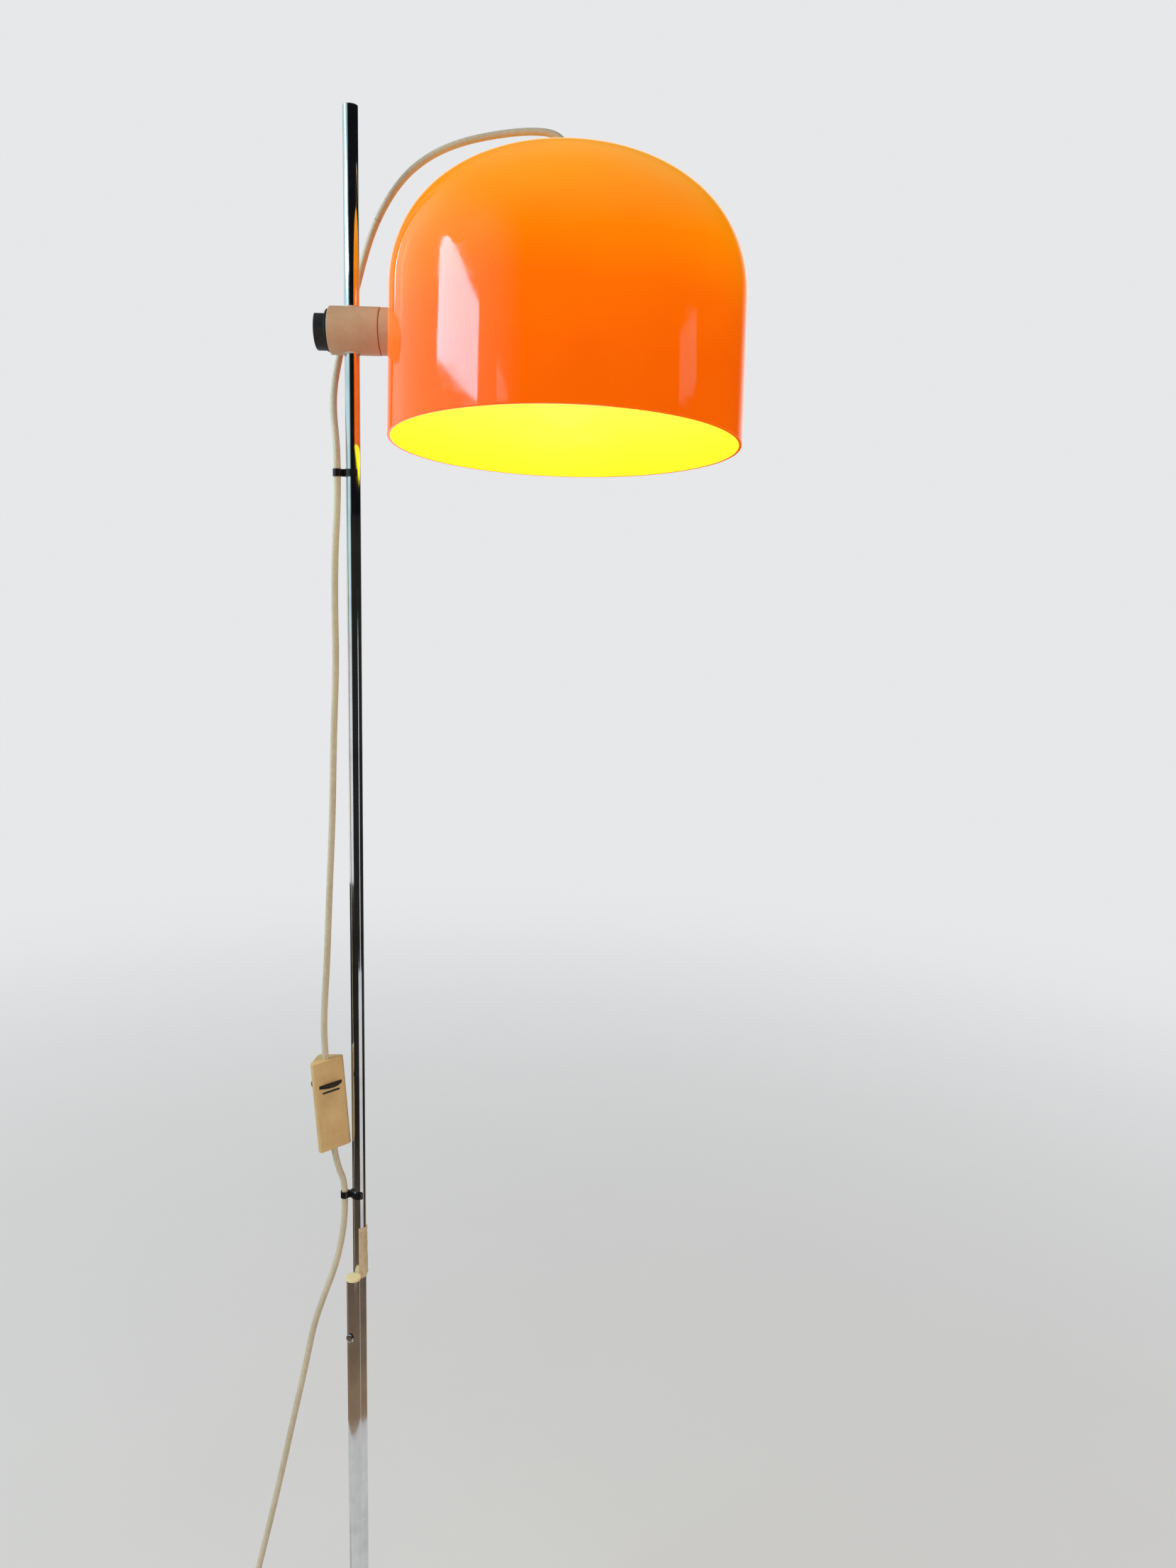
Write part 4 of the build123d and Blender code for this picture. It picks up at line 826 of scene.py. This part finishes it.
soft_light(
    "key", place=(-2.15, -0.75, 2.3), target=(0.0, 0.0, 1.1),
    width=1.5, height=1.6, radiance=6.0, colour=(0.90, 1.0, 0.97),
)
soft_light(
    "fill", place=(1.5, -1.5, 0.75), target=(0.0, 0.0, 1.0),
    width=1.5, height=1.5, radiance=1.7, colour=(1.0, 0.66, 0.38),
)
bulb_light = soft_light(
    "bulb_light", place=(0.187, 0.0, 1.395), target=(0.187, 0.0, 0.0),
    width=0.07, height=0.07, radiance=60.0, colour=(1.0, 0.66, 0.32),
)
bulb_light.data.shape = "DISK"

world = bpy.data.worlds.new("world")
world.use_nodes = True
bpy.context.scene.world = world
sky = Nodes(world.node_tree)


def even_light(colour, strength):
    """The output of one background of the world."""
    return sky.add("ShaderNodeBackground", {"Color": colour, "Strength": strength}).outputs[0]


# mirrors show a studio that is pale at the left and behind, and dark in front and at the right
DARK_ROOM = (0.006, 0.006, 0.008)
PALE_WALL = (0.62, 0.84, 0.86)
CEILING = (0.30, 0.31, 0.32)
AMBIENT = (0.97, 0.98, 1.0)
AMBIENT_STRENGTH = 0.30
direction = sky.add("ShaderNodeTexCoord").outputs["Generated"]
across = sky.add("ShaderNodeSeparateXYZ", {0: direction}).outputs
studio = sky.mix(sky.span(across["X"], -0.38, -0.78), DARK_ROOM, PALE_WALL)
studio = sky.mix(sky.span(across["Z"], 0.45, 0.95), studio, CEILING)
studio = sky.mix(sky.span(across["Y"], 0.80, 0.97), studio, BACKGROUND)
ambient = even_light((*AMBIENT, 1.0), AMBIENT_STRENGTH)
seen = even_light((*BACKGROUND, 1.0), 1.0)
in_mirror = even_light(studio, 1.0)
chosen = sky.add("ShaderNodeMixShader", {0: sky.seen_directly(), 1: ambient, 2: seen}).outputs[0]
glossy = sky.add("ShaderNodeLightPath").outputs["Is Glossy Ray"]
chosen = sky.add("ShaderNodeMixShader", {0: glossy, 1: chosen, 2: in_mirror}).outputs[0]
sky.tree.links.new(chosen, sky.tree.nodes["World Output"].inputs["Surface"])
bpy.context.scene.view_settings.view_transform = "Standard"
